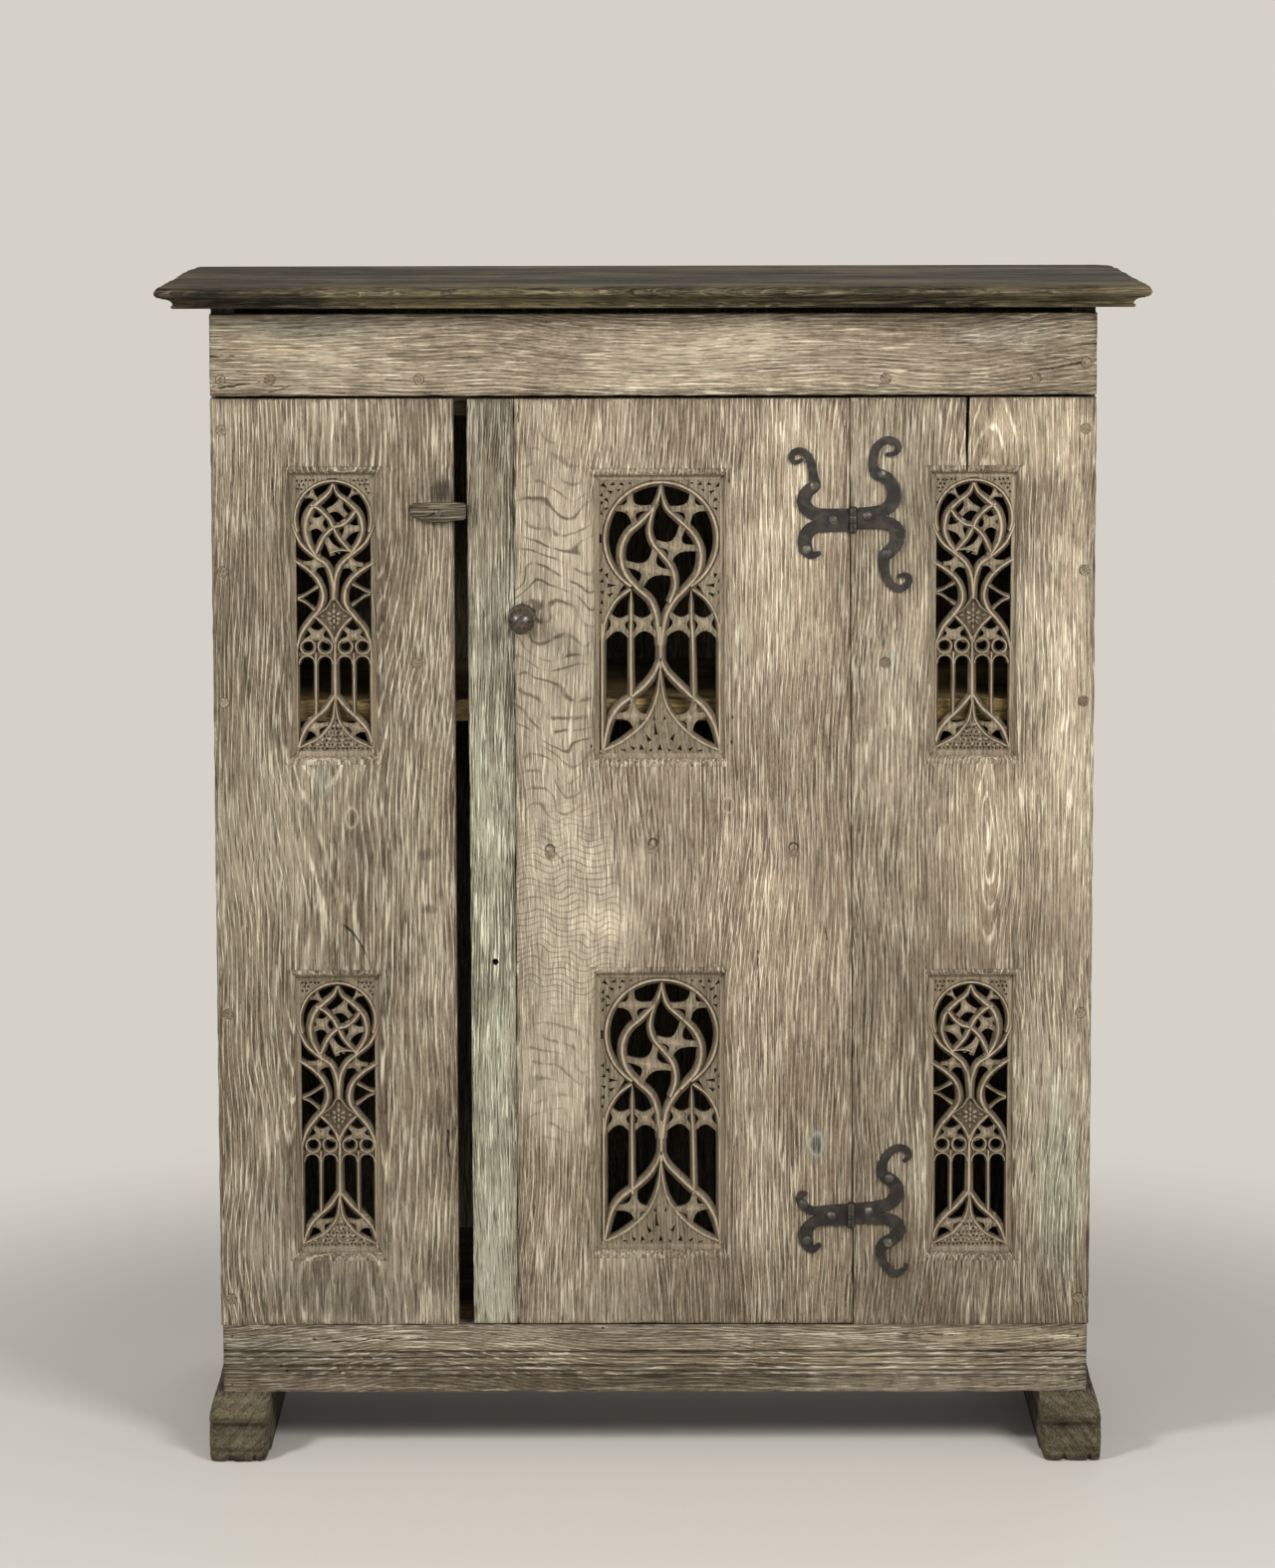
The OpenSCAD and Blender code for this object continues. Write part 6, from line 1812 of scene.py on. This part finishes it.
class Case(Assembly):
    """The standing case: top, front boards, rails, sides, back, inside and feet."""

    left = Figure(
        heart=(-372, -262, 770), lean=-0.05, rings=200,
        stains_and_painted_light=(
            StainAndPaintedLight(-252, 1166, 40, 44, (50, 42, 34), 0.85, 1.0),
            StainAndPaintedLight(-250, 1150, 74, 110, (92, 80, 64), 0.5, 1.2),
            StainAndPaintedLight(-361, 775, 17, 27, (104, 88, 70), 0.8, 0.5, (198, 186, 160)),
            StainAndPaintedLight(-396, 818, 26, 52, (92, 92, 80), 0.5, 1.1),
            StainAndPaintedLight(-346, 727, 60, 150, (120, 104, 86), 0.55, 1.0),
            StainAndPaintedLight(-269, 731, 34, 22, (74, 66, 52), 0.6, 1.6),
            StainAndPaintedLight(-268, 664, 30, 16, (74, 66, 52), 0.6, 1.6),
            StainAndPaintedLight(-262, 285, 80, 110, (178, 172, 148), 0.42, 1.6),
            StainAndPaintedLight(-480, 670, 60, 180, (190, 178, 148), 0.3, 1.5),
            StainAndPaintedLight(-373, 190, 300, 90, (90, 80, 64), 0.5, 1.2),
            # Painted shade: a broad wash darkening the lower part of the board.
            StainAndPaintedLight(-400, 250, 420, 330, (98, 87, 70), 0.36, 1.0),
            # Painted shade: darker along the outer edge.
            StainAndPaintedLight(-500, 780, 90, 1000, (112, 97, 77), 0.25, 1.2),
            # Painted shade: the whole board darker than the right-hand one.
            StainAndPaintedLight(-400, 760, 420, 900, (106, 92, 73), 0.24, 1.0),
            StainAndPaintedLight(-376, 1216, 200, 40, (112, 98, 80), 0.4, 1.0),
        ),
        cracks=(Crack(-249, 395, -246, 330, 2.2), Crack(-452, 1180, -450, 1130, 1.2)),
        pegs=((-512, 1240), (-512, 1071.6), (-512, 914.4), (-512, 537.3), (-512, 187.1), (-281.9, 961.5)),
    )
    right = Figure(
        heart=(397, -197, 733), lean=0.006, dip=30, reach=0.115, rings=215,
        stains_and_painted_light=(
            StainAndPaintedLight(300, 1150, 120, 220, (104, 90, 72), 0.42, 1.3),
            StainAndPaintedLight(496, 1040, 60, 460, (198, 184, 160), 0.4, 1.3),
            StainAndPaintedLight(488, 330, 70, 300, (152, 154, 136), 0.4, 1.3),
            StainAndPaintedLight(330, 330, 70, 240, (172, 170, 146), 0.35, 1.5),
            StainAndPaintedLight(281, 962, 22, 34, (150, 150, 130), 0.5, 1.2),
            StainAndPaintedLight(395, 160, 280, 50, (98, 88, 70), 0.45, 1.2),
            # Painted shade: a broad wash darkening the lower part of the board.
            StainAndPaintedLight(395, 200, 420, 190, (104, 92, 74), 0.3, 1.0),
            # Painted light: the top of the board brighter.
            StainAndPaintedLight(450, 1240, 220, 150, (206, 190, 162), 0.8, 1.1),
            StainAndPaintedLight(396, 735, 150, 330, (176, 160, 134), 0.6, 1.1),
            # Painted light: brighter along the outer edge.
            StainAndPaintedLight(500, 820, 110, 1000, (222, 208, 182), 0.45, 1.1),
            # Painted light: the whole board brighter.
            StainAndPaintedLight(400, 900, 420, 1200, (214, 200, 174), 0.2, 1.0),
        ),
        cracks=(Crack(372, 1186, 376, 1150, 1.0),),
        pegs=((512, 1240), (512, 1071.6), (512, 914.4), (512, 537.3), (512, 187.1), (275.9, 961.5)),
    )
    rail = Figure(
        stains_and_painted_light=(
            StainAndPaintedLight(-400, 1360, 230, 42, (98, 92, 78), 0.55, 1.4),
            StainAndPaintedLight(-452, 1338, 150, 26, (138, 116, 86), 0.5, 1.2),
            StainAndPaintedLight(120, 1356, 620, 26, (150, 130, 104), 0.35, 1.4),
            StainAndPaintedLight(30, 1296, 600, 26, (190, 178, 152), 0.3, 1.5),
            StainAndPaintedLight(0, 1325, 1500, 140, (206, 190, 164), 0.3, 1.0),
            StainAndPaintedLight(420, 1352, 200, 36, (150, 142, 122), 0.4, 1.4),
        ),
        cracks=(Crack(-514, 1291, -450, 1299, 2.0), Crack(-524, 1327, -478, 1329, 1.8),
            Crack(512, 1318, 440, 1308, 1.8),
                Crack(-470, 1281, -400, 1300, 1.0), Crack(524, 1341, 470, 1336, 1.2)),
        pegs=((-512, 1299.8), (-453.6, 1299.8), (-277.2, 1299.8), (275.1, 1299.8), (452.6, 1299.8), (512, 1318.1)),
    )
    sill = Figure(
        stains_and_painted_light=(
            StainAndPaintedLight(0, 84, 1500, 34, (76, 64, 48), 0.7, 1.0),
            StainAndPaintedLight(-470, 120, 200, 70, (112, 104, 88), 0.5, 1.3),
            StainAndPaintedLight(-60, 142, 420, 24, (108, 94, 74), 0.5, 1.3),
            StainAndPaintedLight(400, 140, 260, 26, (196, 188, 156), 0.55, 1.7),
            StainAndPaintedLight(200, 112, 500, 20, (132, 112, 86), 0.4, 1.3),
            StainAndPaintedLight(0, 112, 1500, 5, (176, 166, 136), 0.4, 2.2),
            StainAndPaintedLight(-453, 104, 7, 6, (16, 12, 9), 0.9, 0.3),
            StainAndPaintedLight(-446, 97, 6, 6, (16, 12, 9), 0.9, 0.3),
            StainAndPaintedLight(-412, 137, 7, 5, (16, 12, 9), 0.9, 0.3),
        ),
        cracks=(Crack(-390, 134, -270, 139, 1.6), Crack(300, 143, 420, 140, 1.2)),
        scores=((121.5, 1.5), (114, 0.8), (104, 1.5), (98, 0.9), (92, 0.8)),
    )
    top = Figure(
        stains_and_painted_light=(
            StainAndPaintedLight(0, 1405.5, 1300, 6, (150, 140, 112), 0.5, 2.4),
            StainAndPaintedLight(0, 1396, 1300, 4, (118, 108, 84), 0.4, 2.4),
        ),
    )
    # The toe's bands are painted light and painted shade: pale on the step and the two swellings, dark in the recess
    # between them and under the lip.
    toe = Figure(
        rings=420,
        stains_and_painted_light=(
            StainAndPaintedLight(0, 66, 1500, 7, (150, 138, 108), 0.55, 1.6),
            StainAndPaintedLight(0, 54, 1500, 9, (142, 124, 88), 0.5, 1.2),
            StainAndPaintedLight(0, 37, 1500, 9, (30, 26, 19), 0.7, 1.2),
            StainAndPaintedLight(0, 24, 1500, 9, (120, 112, 84), 0.4, 1.4),
            StainAndPaintedLight(0, 5, 1500, 12, (22, 19, 14), 0.8, 1.2),
        ),
    )

    def dress(self) -> None:
        """Gives every solid of the case its finish."""
        self.worn("top_board", DARK, Grain.ACROSS, self.top, 1.0, TopWear)
        self.worn("left_foot", FOOT, Grain.BACK, self.toe, 1.0, ToeWear)
        self.worn("right_foot", FOOT, Grain.BACK, self.toe, 1.0, ToeWear)
        self.worn("top_rail", FRONT, Grain.ACROSS, self.rail)
        self.worn("bottom_rail", FRONT, Grain.ACROSS, self.sill, 0.5)
        self.worn("left_front_board", FRONT, Grain.UP, self.left)
        self.worn("right_front_board", FRONT, Grain.UP, self.right)
        for side in ("left", "right"):
            for plank in ("front", "rear"):
                self.oak(f"{side}_side_{plank}_plank", SIDE, Grain.UP)
            self.oak(f"{side}_shelf_cleat", INNER, Grain.BACK)
            self.oak(f"{side}_bottom_cleat", INNER, Grain.BACK)
        for i in range(1, 5):
            self.oak(f"back_plank_{i}", SIDE, Grain.UP)
        self.oak("bottom_board", INNER, Grain.ACROSS)
        # The tie batten takes the near-black oak of the top as painted shade, for the dark gap it stands in.
        self.oak("top_tie_batten", DARK, Grain.ACROSS)
        # The shelf takes the lit copy of the inner oak: painted light.
        self.oak("shelf", PAINTED_LIT_SHELF, Grain.ACROSS)
        self.oak("case_tracery_fillets", INNER, Grain.UP, round_over=0)
        self.oak("front_pegs", PEG, Grain.BACK, round_over=0.6)
        self.oak("top_pegs", DARK, Grain.UP, round_over=0.6)
        for seed, level in enumerate(("upper", "lower")):
            self.tracery(SideTracery, f"left_{level}_tracery", seed + 1)
            self.tracery(SideTracery, f"right_{level}_tracery", seed + 3, -1)
        log.info("case dressed")


class Door(Assembly):
    """The planked door with its battens, panels, knob and wedge."""

    body = "door"
    narrow = Figure(
        heart=(-700, -120, 700), lean=0.01, rings=300,
        stains_and_painted_light=(
            StainAndPaintedLight(-200, 1180, 110, 340, (96, 82, 62), 0.72, 1.2),
            StainAndPaintedLight(-198, 640, 90, 620, (158, 156, 128), 0.6, 1.3),
            StainAndPaintedLight(-215, 240, 60, 220, (138, 134, 112), 0.4, 1.4),
            StainAndPaintedLight(-222, 172, 26, 30, (70, 58, 42), 0.7, 0.9),
        ),
    )
    wide = Figure(
        heart=(318, -236, 800), lean=0.06, rings=205,
        stains_and_painted_light=(
            StainAndPaintedLight(-95, 1236, 130, 70, (180, 160, 130), 0.35, 1.2),
            StainAndPaintedLight(-60, 650, 120, 46, (204, 194, 166), 0.42, 1.8),
            StainAndPaintedLight(-150, 1010, 60, 70, (84, 68, 50), 0.5, 1.2),
            StainAndPaintedLight(30, 760, 130, 240, (118, 100, 82), 0.4, 1.2),
            StainAndPaintedLight(190, 700, 90, 120, (112, 94, 76), 0.4, 1.4),
            StainAndPaintedLight(120, 790, 60, 26, (206, 196, 170), 0.4, 1.8),
            StainAndPaintedLight(150, 696, 80, 30, (206, 196, 170), 0.4, 1.8),
            StainAndPaintedLight(89, 790, 16, 22, (118, 98, 78), 0.7, 0.6, (186, 172, 146)),
            StainAndPaintedLight(132, 280, 90, 160, (194, 192, 172), 0.45, 1.7),
            StainAndPaintedLight(195, 376, 20, 32, (74, 78, 74), 0.75, 0.8, (164, 172, 162)),
            StainAndPaintedLight(220, 1140, 70, 220, (110, 92, 72), 0.4, 1.2),
            StainAndPaintedLight(0, 175, 420, 50, (112, 98, 80), 0.4, 1.2),
            # Painted shade: a broad wash darkening the foot of the plank.
            StainAndPaintedLight(40, 190, 480, 170, (112, 98, 79), 0.3, 1.0),
            # Painted light: these two washes brighten the middle and right of the plank.
            StainAndPaintedLight(150, 640, 260, 420, (210, 194, 167), 0.38, 1.2),
            StainAndPaintedLight(170, 1080, 170, 520, (210, 194, 167), 0.36, 1.2),
            StainAndPaintedLight(90, 1178.6, 4, 9, (18, 14, 10), 0.95, 0.2),
            StainAndPaintedLight(93, 866, 4.5, 9, (18, 14, 10), 0.95, 0.2),
            StainAndPaintedLight(94, 896, 4, 7, (18, 14, 10), 0.95, 0.2),
            StainAndPaintedLight(-74.5, 861, 4, 8, (18, 14, 10), 0.95, 0.2),
        ),
        cracks=(Crack(124, 613, 127, 560, 1.6), Crack(206, 640, 212, 590, 1.4), Crack(-160, 1270, -158, 1225, 1.4)),
        pegs=((-124.2, 736.9), (-1.1, 744), (167, 739)),
        rays=(RayBand(-108, 660, 190, 330, 7.2, 3.4, 135, 0.38, 0.62),
            RayBand(-120, 1000, 130, 620, 21, 17, 46, 0.41, 0.78),
              RayBand(-124, 470, 110, 240, 17, 12, 55, 0.44, 0.5)),
    )

    def dress(self) -> None:
        """Gives every solid of the door its finish."""
        self.worn("door_narrow_plank", WEATHERED, Grain.UP, self.narrow, 1.0)
        self.worn("door_wide_plank", DOOR, Grain.UP, self.wide)
        for batten in ("top", "middle", "bottom"):
            self.oak(f"door_{batten}_batten", INNER, Grain.ACROSS)
        self.oak("door_tracery_fillets", INNER, Grain.UP, round_over=0)
        self.oak("door_pegs", PEG, Grain.BACK, round_over=0.6)
        self.oak("knob_wedge", PEG, Grain.ACROSS)
        Piece.dress("knob", PolishedFinish().material("knob_finish", self.kit))
        self.tracery(DoorTracery, "door_upper_tracery", 5)
        self.tracery(DoorTracery, "door_lower_tracery", 6)
        log.info("door dressed")


class Ironwork(Assembly):
    """Hinges and nails."""

    def dress(self) -> None:
        """Gives every iron solid its finish."""
        pins = IronFinish().material("pin_finish", self.kit)
        for end in ("upper", "lower"):
            for leaf in ("board_leaf", "door_leaf"):
                node = f"{end}_hinge_{leaf}"
                Piece.dress(node, IronFinish(front=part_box(node)[0].y).material(node + "_finish", self.kit), 0.9)
            Piece.dress(f"{end}_hinge_pin", pins)
        for nails in ("board_hinge_nails", "door_hinge_nails", "turn_button_nail", "rail_nails", "back_nails"):
            finish = IronFinish(black=(62, 57, 52), rubbed=(118, 111, 101), rust=(80, 64, 50))
            Piece.dress(nails, finish.material(nails + "_finish", self.kit))
        log.info("ironwork dressed")


class TurnButton(Assembly):
    """The wooden button that holds the door shut."""

    def dress(self) -> None:
        """Gives the button its finish."""
        self.oak("turn_button", BUTTON, Grain.ACROSS, Figure(rings=380), 1.2)
        log.info("turn button dressed")


# Studio


@dataclass
class Studio:
    """Floor, lights and the camera at the photograph's viewing angle."""

    SENSOR: ClassVar[float] = 36.0
    FAR: ClassVar[float] = 60.0
    FLOOR_RADIUS: ClassVar[float] = 30.0

    eye: Vec3 = (-0.00454, -6.33998, 1.72947)
    yaw: float = -0.00484
    pitch: float = 0.1265
    roll: float = 0.00245
    focal_px: float = 5221.84
    off_x_px: float = -12.75
    off_y_px: float = -110.0
    floor_tone: Tone = (214, 209, 200)

    def camera(self) -> None:
        """Sets up the camera."""
        cy, sy = math.cos(self.yaw), math.sin(self.yaw)
        cp, sp = math.cos(self.pitch), math.sin(self.pitch)
        cr, sr = math.cos(self.roll), math.sin(self.roll)
        right = Vector((cr * cy - sr * sp * sy, -cr * sy - sr * sp * cy, -sr * cp))
        up = Vector((sr * cy + cr * sp * sy, -sr * sy + cr * sp * cy, cr * cp))
        ahead = Vector((cp * sy, cp * cy, -sp))
        turned = Matrix((right, up, -ahead)).transposed().to_4x4()
        data = bpy.data.cameras.new("camera")
        data.sensor_width = self.SENSOR
        data.lens = self.focal_px * self.SENSOR / IMAGE_HEIGHT
        data.shift_x = -self.off_x_px / IMAGE_HEIGHT
        data.shift_y = self.off_y_px / IMAGE_HEIGHT
        data.clip_end = self.FAR
        made = bpy.data.objects.new("camera", data)
        made.matrix_world = Matrix.Translation(self.eye) @ turned
        bpy.context.scene.collection.objects.link(made)
        bpy.context.scene.camera = made

    def light(self, name: str, place: Vec3, aim: Vec3, size: Vec2, watts: float) -> None:
        """Hangs one soft box.

        Args:
            name: Name of the lamp.
            place: Where it hangs.
            aim: The point that it faces.
            size: Its width and height.
            watts: Its strength.
        """
        data = bpy.data.lights.new(name, "AREA")
        data.shape = "RECTANGLE"
        data.size, data.size_y = size
        data.energy = watts
        made = bpy.data.objects.new(name, data)
        facing = (Vector(aim) - Vector(place)).to_track_quat("-Z", "Y")
        made.matrix_world = Matrix.Translation(place) @ facing.to_matrix().to_4x4()
        bpy.context.scene.collection.objects.link(made)

    def lights(self) -> None:
        """Lights the cupboard softly from both sides and above."""
        self.light("key", (-2.3, -1.9, 2.5), (0, 0, 1.1), (0.7, 0.7), 66)
        self.light("second", (1.7, -2.6, 2.3), (0.4, 0, 1.2), (1.2, 1.2), 78)
        self.light("fill", (0, -4.4, 1.4), (0, 0, 1.0), (3.0, 2.0), 20)
        self.light("back", (0.6, 3.4, 1.3), (0, 0, 0.7), (2.6, 1.6), 30)

    def world(self) -> None:
        """Gives the air around a pale tone that lights the cupboard only a little."""
        world = bpy.data.worlds.new("studio")
        world.use_nodes = True
        bpy.context.scene.world = world
        w = Wiring(world.node_tree)
        world.node_tree.nodes.clear()
        path = w.node("LightPath")
        camera, glossy, through = (w.out(path, f"Is {ray} Ray") for ray in ("Camera", "Glossy", "Transmission"))
        dim = w.node("Background", (0.9, 0.92, 0.95, 1), 0.22)
        pale = w.node("Background", linear(self.floor_tone))
        both = w.node("MixShader", camera.top(glossy).top(through), w.out(dim), w.out(pale))
        w.node("OutputWorld", w.out(both))

    def floor(self) -> None:
        """Lays a plain pale floor that runs into the pale air far off."""
        shape = bmesh.new()
        bmesh.ops.create_circle(shape, cap_ends=True, radius=self.FLOOR_RADIUS, segments=96)
        data = bpy.data.meshes.new("floor")
        shape.to_mesh(data)
        shape.free()
        made = bpy.data.objects.new("floor", data)
        bpy.context.scene.collection.objects.link(made)
        material, w, shader = Finishes.blank("floor_finish", linear(self.floor_tone))
        w.put(shader.inputs["Base Color"], linear(self.floor_tone))
        w.put(shader.inputs["Roughness"], 0.9)
        glow = w.node("Emission", linear(self.floor_tone))
        far = w.place().length().remap(0.75, 1.7) * w.out(w.node("LightPath"), "Is Camera Ray")
        both = w.node("MixShader", far, w.out(shader), w.out(glow))
        w.put(material.node_tree.nodes["Material Output"].inputs["Surface"], w.out(both))
        data.materials.append(material)

    def build(self) -> None:
        """Builds the whole studio."""
        bpy.context.scene.view_settings.view_transform = "Standard"
        self.camera()
        self.lights()
        self.world()
        self.floor()
        log.info("studio ready")


def main() -> None:
    """Builds and dresses the cupboard piece by piece."""
    logging.basicConfig(level=logging.INFO, format="%(message)s")
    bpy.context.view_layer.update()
    Studio().build()
    kit = Finishes()
    for assembly in (Case(kit), Door(kit), Ironwork(kit), TurnButton(kit)):
        assembly.dress()


if __name__ == "__main__":
    main()
